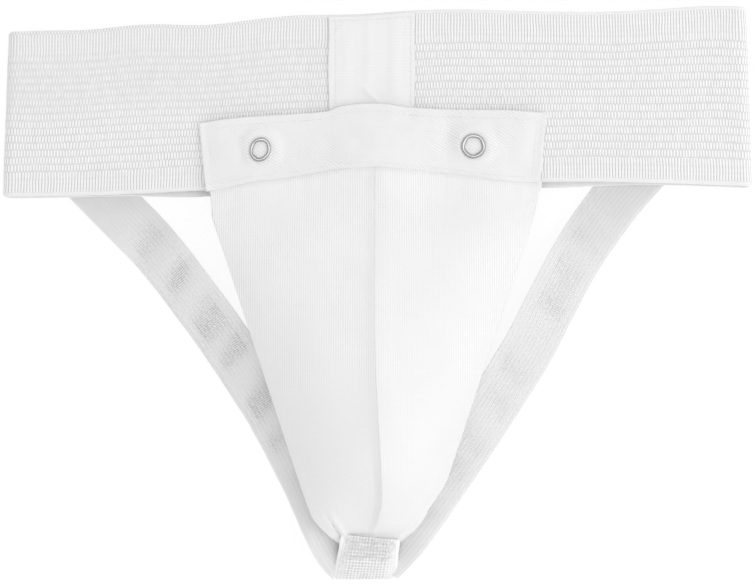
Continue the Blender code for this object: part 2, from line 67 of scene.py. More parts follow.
Array = np.ndarray
Colour = tuple[float, float, float]
Point = tuple[float, float, float]


class Side(Enum):
    """The two sides of the garment as it is seen from above."""

    LEFT = -1
    RIGHT = 1

    @property
    def word(self) -> str:
        """The side's name as it stands in piece names."""
        return self.name.lower()


class Body(Enum):
    """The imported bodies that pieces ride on."""

    BELT = "belt"
    POCKET = "pocket_front"
    CUP = "cup"


def smooth_step(low: float, high: float, value: Array) -> Array:
    """An S curve from 0 at low to 1 at high, which may lie below it: 3t^2 - 2t^3 of the way between."""
    t = np.clip((value - low) / (high - low), 0.0, 1.0)
    return t * t * (3 - 2 * t)


def hump(distance: Array, half_width: float) -> Array:
    """A raised cosine of the distance from its middle: 1 there and 0 from half_width outwards."""
    return 0.5 + 0.5 * np.cos(np.pi * np.clip(np.abs(distance) / half_width, 0.0, 1.0))


def humps(x: Array, rows: tuple) -> Array:
    """The sum of raised cosines, given by the middle, half width and height of each."""
    return sum(height * hump(x - middle, half_width) for middle, half_width, height in rows)


def bell(distance: Array, width: float) -> Array:
    """A bell curve: e to the power of -(distance / width)^2."""
    return np.exp(-((distance / width) ** 2))


def beside_line(x: Array, y: Array, first: tuple, last: tuple) -> tuple[Array, Array]:
    """How points lie beside a straight line, from cross and dot products with its direction.

    Args:
        x: First coordinate.
        y: Second coordinate.
        first: Where the line starts.
        last: Where it ends.

    Returns:
        Distances to the right of the line, and shares of the way along it.
    """
    length = math.hypot(last[0] - first[0], last[1] - first[1])
    along_x, along_y = (last[0] - first[0]) / length, (last[1] - first[1]) / length
    distance = (x - first[0]) * along_y - (y - first[1]) * along_x
    share = ((x - first[0]) * along_x + (y - first[1]) * along_y) / length
    return distance, share


def spline(points: Array, share: Array) -> Array:
    """Points on a uniform Catmull-Rom curve through the given points.

    Args:
        points: Control points, one a row.
        share: Shares of the way along, from 0 to 1.

    Returns:
        Curve points, one a row for each share.
    """
    knots = np.asarray(points, float)
    spans = len(knots) - 1
    span = np.minimum((share * spans).astype(int), spans - 1)
    s = (share * spans - span)[..., None]
    a, b, c, d = (knots[np.clip(span + k, 0, spans)] for k in (-1, 0, 1, 2))
    square = (2 * a - 5 * b + 4 * c - d) * s**2
    return 0.5 * (2 * b + (c - a) * s + square + (3 * b - a - 3 * c + d) * s**3)


def curve_through(points: Array, at: Array) -> Array:
    """Heights of a smooth curve through (position, height) points that rise in position."""
    fine = spline(points, np.linspace(0, 1, CURVE_STEPS * len(points)))
    return np.interp(at, fine[:, 0], fine[:, 1])


def soft_noise(x: Array, y: Array, size: float, seed: int) -> Array:
    """Smooth value noise: random heights on a square lattice, joined by S curves.

    Args:
        x: First coordinate.
        y: Second coordinate, of the same shape.
        size: The lattice's mesh size.
        seed: Which set of random heights.

    Returns:
        Heights from -1 to 1.
    """
    table = np.random.default_rng(seed).uniform(-1, 1, (LATTICE, LATTICE))
    gx, gy = x / size, y / size
    i, j = np.floor(gx).astype(int), np.floor(gy).astype(int)
    s, t = smooth_step(0, 1, gx - i), smooth_step(0, 1, gy - j)
    left, right, low, high = (k % LATTICE for k in (i, i + 1, j, j + 1))
    near = table[left, low] * (1 - s) + table[right, low] * s
    far = table[left, high] * (1 - s) + table[right, high] * s
    return near * (1 - t) + far * t


def unit(vectors: Array) -> Array:
    """The vectors at length one."""
    return vectors / np.maximum(np.linalg.norm(vectors, axis=-1, keepdims=True), SHORTEST)


def stacked(x: Array, y: Array, z: Array) -> Array:
    """Points from three arrays of coordinates that broadcast together."""
    return np.stack(np.broadcast_arrays(x, y, z), axis=-1)


@dataclass
class Surface:
    """A mesh as whole arrays.

    Attributes:
        points: Corner points in millimetres.
        corners: Four point numbers a face.
        uv: Cloth coordinates in millimetres, four a face.
        relief: How far a point stands up in its weave, from 0 to 1.
    """

    points: Array
    corners: Array
    uv: Array
    relief: Array

    def split_low(self) -> "Surface":
        """Turns each face round so that it splits along its lower diagonal, which keeps grains apart.

        Returns:
            The same surface with its faces' corners in another order.
        """
        relief = self.relief[self.corners]
        turn = relief[:, 1] + relief[:, 3] < relief[:, 0] + relief[:, 2]
        order = (np.arange(4) + turn[:, None]) % 4
        corners = np.take_along_axis(self.corners, order, axis=1)
        uv = np.take_along_axis(self.uv, order[..., None], axis=1)
        return Surface(self.points, corners, uv, self.relief)

    def to_object(self, name: str, smooth: bool = True, crisp: float | None = None) -> bpy.types.Object:
        """Writes the surface into a new object at the origin, in metres.

        Args:
            name: The piece's name.
            smooth: Whether faces are shaded smooth.
            crisp: The angle in radians from which an edge between smooth faces stays crisp.

        Returns:
            The object, linked to the scene.
        """
        mesh = bpy.data.meshes.new(name)
        mesh.from_pydata(self.points * MM, [], self.corners)
        layer = mesh.uv_layers.new(name=UV_NAME)
        layer.data.foreach_set("uv", self.uv.astype(np.float32).ravel())
        attribute = mesh.attributes.new(RELIEF_NAME, "FLOAT", "POINT")
        attribute.data.foreach_set("value", self.relief.astype(np.float32).ravel())
        mesh.polygons.foreach_set("use_smooth", np.full(len(self.corners), smooth))
        if crisp is not None:
            mesh.set_sharp_from_angle(angle=crisp)
        mesh.update()
        piece = bpy.data.objects.new(name, mesh)
        bpy.context.scene.collection.objects.link(piece)
        return piece


def grid_corners(rows: int, columns: int, wrap_rows: bool, wrap_columns: bool) -> tuple[Array, Array]:
    """The cells of a grid of points that are numbered row by row.

    Args:
        rows: Number of rows of points.
        columns: Number of columns of points.
        wrap_rows: Whether the last row joins the first.
        wrap_columns: Whether the last column joins the first.

    Returns:
        Four point numbers a cell, and four (row, column) places a cell that run on past a join.
    """
    low, left = np.meshgrid(
        np.arange(rows - 1 + wrap_rows), np.arange(columns - 1 + wrap_columns), indexing="ij"
    )
    row = np.stack([low, low, low + 1, low + 1], axis=-1).reshape(-1, 4)
    column = np.stack([left, left + 1, left + 1, left], axis=-1).reshape(-1, 4)
    numbers = (row % rows) * columns + column % columns
    return numbers, np.stack([row, column], axis=-1)


def disc_corners(count: int) -> Array:
    """Faces across a ring of an even count of points: strips that turn the way the ring is numbered."""
    i = np.arange(count // 2 - 1)
    return np.stack([i, i + 1, count - 2 - i, count - 1 - i], axis=-1)


def normals_of(middle: Array) -> Array:
    """Unit normals of a grid of points: across the rows' direction and then up the columns'."""
    return unit(np.cross(np.gradient(middle, axis=1), np.gradient(middle, axis=0)))


def cloth_shell(
    middle: Array, thickness: float | Array, uv: Array, relief: Array | None = None, depth: float = 0.0
) -> Surface:
    """A closed sheet: a grid moved both ways along its normals, its border closed by a rounded rim.

    Args:
        middle: The sheet's middle surface, a grid of points.
        thickness: From face to face, one number or one for each point.
        uv: Cloth coordinates of the grid's points.
        relief: How far each point stands up in the weave, from 0 to 1.
        depth: How far a full relief of 1 stands out of both faces.

    Returns:
        The closed surface.
    """
    rows, columns = middle.shape[:2]
    relief = np.zeros((rows, columns)) if relief is None else relief
    thickness = np.broadcast_to(thickness, (rows, columns))
    offset = (thickness / 2 + depth * (relief - 0.5))[..., None] * normals_of(middle)
    number = np.arange(rows * columns).reshape(rows, columns)
    loop = np.concatenate([number[0], number[1:, -1], number[-1, -2::-1], number[-2:0:-1, 0]])
    i, j = np.divmod(loop, columns)
    inner = middle[np.clip(i, 1, rows - 2), np.clip(j, 1, columns - 2)]
    rim = middle[i, j] + unit(middle[i, j] - inner) * thickness[i, j, None] * RIM_BULGE
    points = np.concatenate([(middle + offset).reshape(-1, 3), (middle - offset).reshape(-1, 3), rim])
    front = grid_corners(rows, columns, False, False)[0]
    back_start, rim_start = rows * columns, 2 * rows * columns
    edge = rim_start + np.arange(len(loop))
    after, edge_after = np.roll(loop, -1), np.roll(edge, -1)
    strips = [
        np.stack([loop, edge, edge_after, after], axis=-1),
        np.stack([edge, loop + back_start, after + back_start, edge_after], axis=-1),
    ]
    corners = np.concatenate([front, front[:, ::-1] + back_start, *strips])
    flat_uv = uv.reshape(-1, 2)
    point_uv = np.concatenate([flat_uv, flat_uv, flat_uv[loop]])
    point_relief = np.concatenate([relief.ravel(), relief.ravel(), relief.ravel()[loop]])
    return Surface(points, corners, point_uv[corners], point_relief).split_low()


def wrapped(points: Array, uv: Array | None = None) -> Surface:
    """A grid of points that is closed both ways, such as a ring.

    Args:
        points: The grid of points.
        uv: Cloth coordinates on a grid one longer each way, so that they run on past the joins.

    Returns:
        The closed surface.
    """
    rows, columns = points.shape[:2]
    corners, places = grid_corners(rows, columns, True, True)
    if uv is None:
        uv = stacked(np.arange(rows + 1)[:, None], np.arange(columns + 1)[None], 0.0)[..., :2]
    face_uv = uv[places[..., 0], places[..., 1]]
    return Surface(points.reshape(-1, 3), corners, face_uv, np.ones(rows * columns))


def turned(profile: Array, centre: Point, turns: int = 64, capped: bool = False) -> Surface:
    """A profile of (radius, height) points carried round a vertical axis.

    Args:
        profile: The section, going up its outer side.
        centre: The axis, and the height that the section's heights count from.
        turns: Steps round the axis.
        capped: Whether the section is open and its two ends are closed by flat discs, or it goes round once.

    Returns:
        The closed shape.
    """
    angle = np.linspace(0, 2 * np.pi, turns, endpoint=False)
    radius, height = np.asarray(profile, float).T[:, :, None]
    points = stacked(radius * np.cos(angle), radius * np.sin(angle), height) + np.array(centre)
    if not capped:
        return wrapped(points)
    side = grid_corners(len(radius), turns, False, True)[0]
    disc = disc_corners(turns)
    corners = np.concatenate([side, disc[:, ::-1], disc + (len(radius) - 1) * turns])
    flat = points.reshape(-1, 3)
    return Surface(flat, corners, flat[corners][..., :2], np.ones(len(flat)))


def stitches(starts: Array, ends: Array, radius: float, rise: float, sides: int = 6) -> Surface:
    """Short thread stitches: each a tapered tube along a low arch from its start to its end.

    Args:
        starts: First points, one a row.
        ends: Last points, one a row.
        radius: The thread's radius.
        rise: How far the arch stands up at its middle.
        sides: Sides of the tube, an even number.

    Returns:
        All stitches as one surface.
    """
    share = np.linspace(0, 1, 6)
    spine = starts[:, None] + (ends - starts)[:, None] * share[:, None]
    spine[..., 2] += rise * np.sin(np.pi * share)
    along = unit(ends - starts)[:, None]
    across = unit(np.cross([0.0, 0.0, 1.0], along))
    up = np.cross(along, across)
    swell = radius * (0.55 + 0.45 * np.sin(np.pi * share))[None, :, None, None]
    angle = np.linspace(0, 2 * np.pi, sides, endpoint=False)[:, None]
    ring = across[:, :, None] * np.cos(angle) + up[:, :, None] * np.sin(angle)
    points = spine[:, :, None] + ring * swell
    tube = grid_corners(len(share), sides, False, True)[0]
    cap = disc_corners(sides)
    one = np.concatenate([tube, cap[:, ::-1], cap + (len(share) - 1) * sides])
    first = np.arange(len(starts))[:, None, None] * (len(share) * sides)
    corners = (one[None] + first).reshape(-1, 4)
    flat = points.reshape(-1, 3)
    return Surface(flat, corners, flat[corners][..., :2], np.ones(len(flat)))


class NodeSketch:
    """Adds nodes to one node tree and links them."""

    def __init__(self, tree: bpy.types.NodeTree) -> None:
        """Starts on a tree, with the nodes it already has."""
        self.tree = tree

    def node(self, kind: str, **inputs: object) -> bpy.types.Node:
        """Adds a node and fills its inputs.

        Args:
            kind: Blender's name of the node type.
            **inputs: Values to set or sockets to link, by input names with _ for each space.

        Returns:
            The node.
        """
        made = self.tree.nodes.new(kind)
        self.fill(made, inputs)
        return made

    def fill(self, made: bpy.types.Node, inputs: dict[str, object]) -> None:
        """Fills a node's inputs by their names, with _ for each space."""
        for name, value in inputs.items():
            self.put(value, made.inputs[name.replace("_", " ")])

    def put(self, value: object, socket: bpy.types.NodeSocket) -> None:
        """Links a socket or sets a value on an input.

        Args:
            value: A socket to link, or a value to set.
            socket: The input.
        """
        if isinstance(value, bpy.types.NodeSocket):
            self.tree.links.new(value, socket)
        else:
            socket.default_value = value

    def math(self, operation: str, *values: object) -> bpy.types.NodeSocket:
        """Adds a Math node.

        Args:
            operation: Blender's name of the operation.
            *values: Numbers or sockets, in order.

        Returns:
            The result's socket.
        """
        made = self.tree.nodes.new("ShaderNodeMath")
        made.operation = operation
        for value, socket in zip(values, made.inputs):
            self.put(value, socket)
        return made.outputs[0]

    def map_range(self, value: object, low: float, high: float, first: float = 0.0) -> bpy.types.NodeSocket:
        """Adds a Map Range node, whose result goes from first at low to 1 at high and is held there."""
        made = self.node("ShaderNodeMapRange", Value=value, From_Min=low, From_Max=high, To_Min=first)
        return made.outputs[0]

    def bump(self, height: object, depth: float) -> bpy.types.NodeSocket:
        """Adds a Bump node, for which a height of 1 stands for depth millimetres."""
        return self.node("ShaderNodeBump", Height=height, Distance=depth * MM, Strength=1.0).outputs[0]

    def mix_colour(self, share: object, first: object, second: object) -> bpy.types.NodeSocket:
        """Adds a colour mix.

        Args:
            share: How much of the second colour.
            first: A colour or socket.
            second: A colour or socket.

        Returns:
            The mixed colour's socket.
        """
        made = self.tree.nodes.new("ShaderNodeMix")
        made.data_type = "RGBA"
        for value, name in ((share, "Factor_Float"), (first, "A_Color"), (second, "B_Color")):
            self.put(value, next(socket for socket in made.inputs if socket.identifier == name))
        return next(socket for socket in made.outputs if socket.identifier == "Result_Color")

    def group(self, tree: bpy.types.NodeTree, **inputs: object) -> bpy.types.Node:
        """Places a node group and fills its inputs.

        Args:
            tree: The group.
            **inputs: Values to set or sockets to link, by input names with _ for each space.

        Returns:
            The group's node.
        """
        made = self.tree.nodes.new("ShaderNodeGroup")
        made.node_tree = tree
        self.fill(made, inputs)
        return made


def new_group(
    name: str, inputs: dict[str, str], outputs: dict[str, str]
) -> tuple[NodeSketch, bpy.types.Node, bpy.types.Node]:
    """Starts a shader node group.

    Args:
        name: The group's name.
        inputs: Socket types by name.
        outputs: Socket types by name.

    Returns:
        A sketch of the group's tree, its input node and its output node.
    """
    tree = bpy.data.node_groups.new(name, "ShaderNodeTree")
    for direction, sockets in (("INPUT", inputs), ("OUTPUT", outputs)):
        for socket, kind in sockets.items():
            tree.interface.new_socket(socket, in_out=direction, socket_type=kind)
    sketch = NodeSketch(tree)
    return sketch, sketch.node("NodeGroupInput"), sketch.node("NodeGroupOutput")


def yarn_rows_group() -> bpy.types.NodeTree:
    """Rows of yarn: the cosine of the place across the yarns, swayed and pinched row by row.

    Returns:
        The group, made the first time it is asked for.
    """
    name = "yarn_rows"
    if name in bpy.data.node_groups:
        return bpy.data.node_groups[name]
    number = "NodeSocketFloat"
    inputs = {"Cloth": "NodeSocketVector", "Turn": number, "Yarn Pitch": number, "Row Pitch": number}
    sketch, given, result = new_group(name, inputs | {"Sway": number, "Pinch": number}, {"Height": number})
    cloth, turn = given.outputs["Cloth"], given.outputs["Turn"]
    turned_cloth = sketch.node("ShaderNodeVectorRotate", Vector=cloth, Angle=turn)
    turned_cloth.rotation_type = "Z_AXIS"
    split = sketch.node("ShaderNodeSeparateXYZ", Vector=turned_cloth.outputs[0])
    row = sketch.math("DIVIDE", split.outputs["Y"], given.outputs["Row Pitch"])
    sway = sketch.math("MULTIPLY", sketch.math("PINGPONG", row, 1.0), given.outputs["Sway"])
    place = sketch.math("DIVIDE", sketch.math("ADD", split.outputs["X"], sway), given.outputs["Yarn Pitch"])
    yarn = sketch.math("ABSOLUTE", sketch.math("COSINE", sketch.math("MULTIPLY", place, math.pi)))
    dip = sketch.math("ABSOLUTE", sketch.math("COSINE", sketch.math("MULTIPLY", row, math.pi)))
    pinched = sketch.math("SUBTRACT", 1.0, sketch.math("MULTIPLY", dip, given.outputs["Pinch"]))
    sketch.put(sketch.math("MULTIPLY", yarn, pinched), result.inputs["Height"])
    return sketch.tree


def cloth_tone_group() -> bpy.types.NodeTree:
    """Soft patches and fine fibre flecks from two noises.

    Returns:
        The group, made the first time it is asked for.
    """
    name = "cloth_tone"
    if name in bpy.data.node_groups:
        return bpy.data.node_groups[name]
    number = "NodeSocketFloat"
    inputs = {"Place": "NodeSocketVector", "Patch Scale": number, "Fleck Scale": number}
    sketch, given, result = new_group(name, inputs, {"Patch": number, "Fleck": number})
    place = given.outputs["Place"]
    for tone, detail in (("Patch", 3.0), ("Fleck", 2.0)):
        scale = given.outputs[f"{tone} Scale"]
        noise = sketch.node("ShaderNodeTexNoise", Vector=place, Scale=scale, Detail=detail)
        sketch.put(noise.outputs[0], result.inputs[tone])
    return sketch.tree


def new_material(name: str) -> tuple[bpy.types.Material, NodeSketch, bpy.types.Node]:
    """Starts a material.

    Args:
        name: The material's name.

    Returns:
        The material, a sketch of its tree and its Principled shader.
    """
    material = bpy.data.materials.new(name)
    material.use_nodes = True
    return material, NodeSketch(material.node_tree), material.node_tree.nodes["Principled BSDF"]


@dataclass(frozen=True)
class ClothFinish:
    """A cloth: its colours, its yarns and how rough it is.

    Attributes:
        name: The material's name.
        colour: The yarns' colour.
        gap_colour: The colour down between the yarns.
        yarn_pitch: Millimetres from yarn to yarn.
        row_pitch: Millimetres from row to row.
        sway: Millimetres that a yarn leans from one row to the next.
        pinch: How far rows pinch the yarns, from 0 to 1.
        turn: How far the yarns are turned from straight up, in radians.
        bump: Depth of the yarns in millimetres.
        patchiness: How far the yarns fade away between patches, from 0 to 1.
        fades: Whether the yarns fade away where the mesh's relief is low, as where knit is pulled smooth.
        modelled_weave: Whether the weave is in the mesh, so that colour follows its relief.
        full_relief: The relief from which a modelled weave has its full colour.
        patch_shade: How far the patches change the colour.
        fleck_shade: How far the flecks change the colour.
        fleck_rough: How far the flecks change the roughness.
    """

    name: str
    colour: Colour
    gap_colour: Colour
    yarn_pitch: float
    row_pitch: float
    sway: float = 0.0
    pinch: float = 0.3
    turn: float = 0.0
    bump: float = 0.12
    roughness: float = 0.88
    sheen: float = 0.12
    specular: float = 0.25
    patchiness: float = 0.0
    fades: bool = False
    modelled_weave: bool = False
    full_relief: float = 0.6
    patch_shade: float = 0.036
    fleck_shade: float = 0.04
    fleck_rough: float = 0.1

    def material(self) -> bpy.types.Material:
        """Makes the cloth's material.

        Returns:
            A material whose colour, roughness and bump follow the yarns and a soft unevenness.
        """
        material, sketch, shader = new_material(self.name)
        place = sketch.node("ShaderNodeTexCoord").outputs["Object"]
        scales = {"Patch_Scale": 45.0, "Fleck_Scale": 2600.0}
        tone = sketch.group(cloth_tone_group(), Place=place, **scales)
        patch, fleck = tone.outputs["Patch"], tone.outputs["Fleck"]
        weave = self.weave(sketch, patch)
        height = weave
        if self.modelled_weave:
            height = sketch.map_range(self.relief(sketch), 0.0, self.full_relief)
        yarn_colour = sketch.mix_colour(height, (*self.gap_colour, 1.0), (*self.colour, 1.0))
        shade = sketch.math("MULTIPLY_ADD", patch, self.patch_shade, 1 - self.patch_shade / 2)
        lowered = sketch.math("SUBTRACT", shade, self.fleck_shade / 2)
        shade = sketch.math("MULTIPLY_ADD", fleck, self.fleck_shade, lowered)
        tinted = sketch.node("ShaderNodeVectorMath")
        tinted.operation = "SCALE"
        sketch.put(yarn_colour, tinted.inputs[0])
        sketch.put(shade, tinted.inputs["Scale"])
        sketch.put(tinted.outputs[0], shader.inputs["Base Color"])
        smoothest = self.roughness - self.fleck_rough / 2
        rough = sketch.math("MULTIPLY_ADD", fleck, self.fleck_rough, smoothest)
        sketch.put(rough, shader.inputs["Roughness"])
        surface = sketch.math("MULTIPLY_ADD", fleck, 0.5, weave)
        sketch.put(sketch.bump(surface, self.bump), shader.inputs["Normal"])
        shader.inputs["Sheen Weight"].default_value = self.sheen
        shader.inputs["Sheen Roughness"].default_value = 0.5
        shader.inputs["Specular IOR Level"].default_value = self.specular
        return material

    def weave(self, sketch: NodeSketch, patch: bpy.types.NodeSocket) -> bpy.types.NodeSocket:
        """Adds the yarns, which fade towards their mean height between patches and where they are smooth.

        Args:
            sketch: The material's sketch.
            patch: The patch noise.

        Returns:
            The socket with the yarns' heights.
        """
        uv = sketch.node("ShaderNodeUVMap")
        uv.uv_map = UV_NAME
        rows = sketch.group(
            yarn_rows_group(),
            Cloth=uv.outputs[0],
            Turn=self.turn,
            Yarn_Pitch=self.yarn_pitch,
            Row_Pitch=self.row_pitch,
            Sway=self.sway,
            Pinch=self.pinch,
        ).outputs["Height"]
        shown = sketch.map_range(patch, 0.42, 0.62, 1 - self.patchiness)
        if self.fades:
            shown = sketch.math("MULTIPLY", shown, self.relief(sketch))
        return sketch.math("MULTIPLY_ADD", sketch.math("SUBTRACT", rows, MEAN_WEAVE), shown, MEAN_WEAVE)

    def relief(self, sketch: NodeSketch) -> bpy.types.NodeSocket:
        """Adds the mesh's own relief.

        Args:
            sketch: The material's sketch.

        Returns:
            The socket with the relief.
        """
        attribute = sketch.node("ShaderNodeAttribute")
        attribute.attribute_name = RELIEF_NAME
        return attribute.outputs["Fac"]


@dataclass(frozen=True)
class HardFinish:
    """A moulded or plated surface.

    Attributes:
        name: The material's name.
        colour: Its main colour.
        worn_colour: Its colour in dull, handled patches.
        roughness: Roughness where it is clean.
        worn_roughness: Roughness in the dull patches.
        metallic: 1 for metal and 0 for plastic.
        grain: Depth of its grain in millimetres.
        grain_scale: How fine the grain is, in repeats a metre.
    """

    name: str
    colour: Colour
    worn_colour: Colour
    roughness: float
    worn_roughness: float
    metallic: float
    grain: float
    grain_scale: float

    def material(self) -> bpy.types.Material:
        """Makes the material.

        Returns:
            A material with dull patches and a fine grain.
        """
        material, sketch, shader = new_material(self.name)
        place = sketch.node("ShaderNodeTexCoord").outputs["Object"]
        scales = {"Patch_Scale": 160.0, "Fleck_Scale": self.grain_scale}
        tone = sketch.group(cloth_tone_group(), Place=place, **scales)
        wear_and_shade = sketch.map_range(tone.outputs["Patch"], 0.45, 0.7)
        colour = sketch.mix_colour(wear_and_shade, (*self.colour, 1.0), (*self.worn_colour, 1.0))
        sketch.put(colour, shader.inputs["Base Color"])
        rough = sketch.math("MULTIPLY_ADD", wear_and_shade, self.worn_roughness - self.roughness, self.roughness)
        sketch.put(rough, shader.inputs["Roughness"])
        sketch.put(sketch.bump(tone.outputs["Fleck"], self.grain), shader.inputs["Normal"])
        shader.inputs["Metallic"].default_value = self.metallic
        return material


def grey(value: float) -> Colour:
    """A grey with the same red, green and blue."""
    return (value, value, value)


BAND_ELASTIC = ClothFinish(
    "band_elastic", grey(0.94), (0.53, 0.53, 0.535), 0.65, 0.9, bump=0.05, modelled_weave=True
)
STRAP_ELASTIC = ClothFinish(
    "strap_elastic", grey(0.785), (0.45, 0.45, 0.455), 0.65, 0.65, bump=0.05, modelled_weave=True
)
# Painted light: the tab's copy of the strap elastic is lighter than the straps' copy, offsetting the shade on
# its steep, downward-sloping face.
TAB_ELASTIC = replace(STRAP_ELASTIC, name="tab_elastic", colour=grey(0.95), gap_colour=(0.54, 0.54, 0.545))
TWILL = ClothFinish(
    "twill", grey(0.903), grey(0.776), 1.15, 0.9,
    pinch=0.25, turn=math.radians(-60), bump=0.13, patchiness=1.0,
)
JERSEY = ClothFinish(
    "jersey", grey(0.96), grey(0.735), 1.0, 0.75,
    sway=0.3, pinch=0.15, bump=0.08, patchiness=0.75, fades=True,
)
LINING_JERSEY = ClothFinish("lining_jersey", grey(0.88), grey(0.80), 1.3, 0.9, sway=0.3)
SATIN = ClothFinish(
    "satin", grey(0.88), grey(0.83), 0.5, 1.4, pinch=0.6, bump=0.03, roughness=0.5, specular=0.4
)
THREAD = ClothFinish("thread", grey(0.90), grey(0.74), 0.35, 0.5, turn=0.6, bump=0.05)
CUP_PLASTIC = HardFinish("cup_plastic", (0.80, 0.81, 0.81), (0.76, 0.77, 0.77), 0.3, 0.42, 0.0, 0.012, 3200.0)
CUP_RUBBER = HardFinish("cup_rubber", (0.62, 0.63, 0.64), (0.58, 0.59, 0.6), 0.62, 0.75, 0.0, 0.03, 1800.0)
# Painted shade: the snap metal's colour is darker than bare nickel, standing in for the darker surroundings
# that it reflects.
SNAP_METAL = HardFinish("snap_metal", (0.48, 0.48, 0.485), (0.40, 0.395, 0.39), 0.1, 0.24, 1.0, 0.004, 2500.0)


class Wardrobe:
    """The made materials, one for each finish."""

    def __init__(self) -> None:
        """Starts with nothing made."""
        self.made: dict[str, bpy.types.Material] = {}

    def dress(self, piece: bpy.types.Object, finish: ClothFinish | HardFinish) -> None:
        """Gives a piece its finish and logs its face count and finish.

        Args:
            piece: The piece.
            finish: Its finish.
        """
        if finish.name not in self.made:
            self.made[finish.name] = finish.material()
        piece.data.materials.append(self.made[finish.name])
        LOG.info("%s: %d faces, %s", piece.name, len(piece.data.polygons), finish.name)

    def fit(
        self, piece: bpy.types.Object, finish: ClothFinish | HardFinish, body: Body, node: str = ""
    ) -> None:
        """Dresses a piece and lets it ride on one body.

        Args:
            piece: The piece.
            finish: Its finish.
            body: The body that it rides on.
            node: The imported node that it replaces, if there is one.
        """
        self.dress(piece, finish)
        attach(piece, body.value)
        if node:
            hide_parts(node)


@dataclass(frozen=True)
class PouchForm:
    """The shape of the pocket, which the lining, the panels, the flap and the cup all follow."""

    middle_x: float = -2.0
    shoulder_y: float = -95.0
    shoulder_half_width: float = 28.6
    taper: float = 0.329
    round_depth: float = 20.0
    panel_bottom_y: float = -105.0
    panel_thickness: float = 1.0
    peak_y: float = -60.0
    peak_z: float = 50.0
    seam_ridge_z: float = 22.6
    bottom_ridge_z: float = 15.2
    fall_power: float = 1.25
    rise_power: float = 0.9
    sharpness: float = 0.42
    side_power: float = 3.5
    seam_end_y: float = 46.5
    seam_arch: float = 8.0
    seam_tilt: float = 0.026
    deep_seam_span: tuple = (66.0, 48.0)
    blend_start_y: float = 20.0
    lining_thickness: float = 0.8
    lining_bottom_z: float = 10.6
    lining_slope: float = 0.035
    lining_landing_z: float = 12.75
    landing_span: tuple = (34.0, 47.0)
    lining_tail_z: float = 6.0
    lining_tail_y: float = -113.5
    sewn_gap: float = 0.35
    flap_z: float = 17.05
    flap_bulge: float = 5.5
    bulge_half_width: float = 36.0
    flap_bottom_half_width: float = 72.5
    flap_top_half_width: float = 75.4
    tail_ridge_z: float = 12.6
    corner_drop: float = 3.0
    lift_start: float = 0.8
    lift_end: float = 23.5
    centre_line: tuple = (
        (-120, -2.6), (-112, -2.4), (-104, -1.6), (-97, 0.4), (-89, 1.9), (-75, 1.6), (-45, -0.1),
        (-16, -1.1), (60, -1.1),
    )
    flap_edge: tuple = (
        (-78, 73.2), (-75.8, 73.5), (-59.4, 75.6), (-38.4, 77.0), (-22.5, 78.2), (-16.3, 80.3), (-5.8, 81.6),
        (3.7, 81.4), (15.3, 79.9), (35.2, 79.1), (56.3, 78.8), (73.1, 77.8), (76, 77.6),
    )
    sewn_line: tuple = (
        (-78, 43.4), (-74.3, 44.1), (-64.8, 45.8), (-54.2, 48.2), (-45.8, 49.0), (-31.1, 51.2), (-17.4, 53.4),
        (-1.5, 54.3), (8.9, 53.6), (24.8, 52.2), (38.4, 50.8), (47.9, 49.2), (61.6, 48.1), (71.0, 47.8),
        (76, 47.7),
    )

    def half_width(self, y: Array) -> Array:
        """Half the pouch's width: straight tapering sides, then a quarter ellipse at the bottom.

        Args:
            y: Places along the pouch.

        Returns:
            Millimetres from the middle to the plain outline.
        """
        straight = self.shoulder_half_width + self.taper * (y - self.shoulder_y)
        drop = np.clip((self.shoulder_y - y) / self.round_depth, 0.0, 1.0)
        return np.where(y >= self.shoulder_y, straight, self.shoulder_half_width * np.sqrt(1 - drop * drop))

    def bottom_inset(self, sign: Array, y: Array) -> Array:
        """How far the pouch's two bottom corners are drawn in, most at the right.

        Args:
            sign: Above 0 for the right side and below it for the left one.
            y: Places along the pouch.

        Returns:
            Millimetres towards the middle.
        """
        right = 7.3 * smooth_step(-79.0, -109.0, y)
        left = 3.8 * smooth_step(-92.0, -109.0, y)
        return np.where(sign > 0, right, left)

    def seam_y(self, x: Array) -> Array:
        """The seam under the flap: a parabola that is a little higher at the right."""
        t = (x - self.middle_x) / self.flap_bottom_half_width
        return self.seam_end_y + self.seam_tilt * x + self.seam_arch * (1 - np.minimum(1.0, t * t))

    def seam_depth(self, x: Array) -> Array:
        """How far the seam under the flap is sunk, as a share that grows inwards from its two ends."""
        return smooth_step(*self.deep_seam_span, np.abs(x - self.middle_x))

    def flap_height(self, x: Array) -> Array:
        """The flap's middle surface: level at the snaps, with a cosine bulge over the cup."""
        return self.flap_z + self.flap_bulge * hump(x - self.middle_x, self.bulge_half_width)

    def level_z(self, y: Array) -> Array:
        """The plane that the lining lies in behind the cup."""
        return self.lining_bottom_z + self.lining_slope * (y - self.panel_bottom_y)

    def lining_z(self, y: Array) -> Array:
        """The lining's middle surface: that plane, with a step on to the band and one down to the tab.

        Args:
            y: Places along the pouch.

        Returns:
            Heights above the floor.
        """
        level = self.level_z(y)
        level = level + (self.lining_landing_z - level) * smooth_step(*self.landing_span, y)
        return level + (self.lining_tail_z - level) * smooth_step(self.panel_bottom_y, self.lining_tail_y, y)

    def rim_z(self, y: Array) -> Array:
        """Where the panels' edges lie on the lining, which they follow down to the tab.

        Args:
            y: Places along the pouch.

        Returns:
            Heights of the panels' middle surface above the floor.
        """
        gap = self.lining_thickness / 2 + self.sewn_gap + self.panel_thickness / 2
        level = self.level_z(y)
        tail = smooth_step(self.panel_bottom_y, self.lining_tail_y, y)
        return level + (self.lining_tail_z - level) * tail + gap

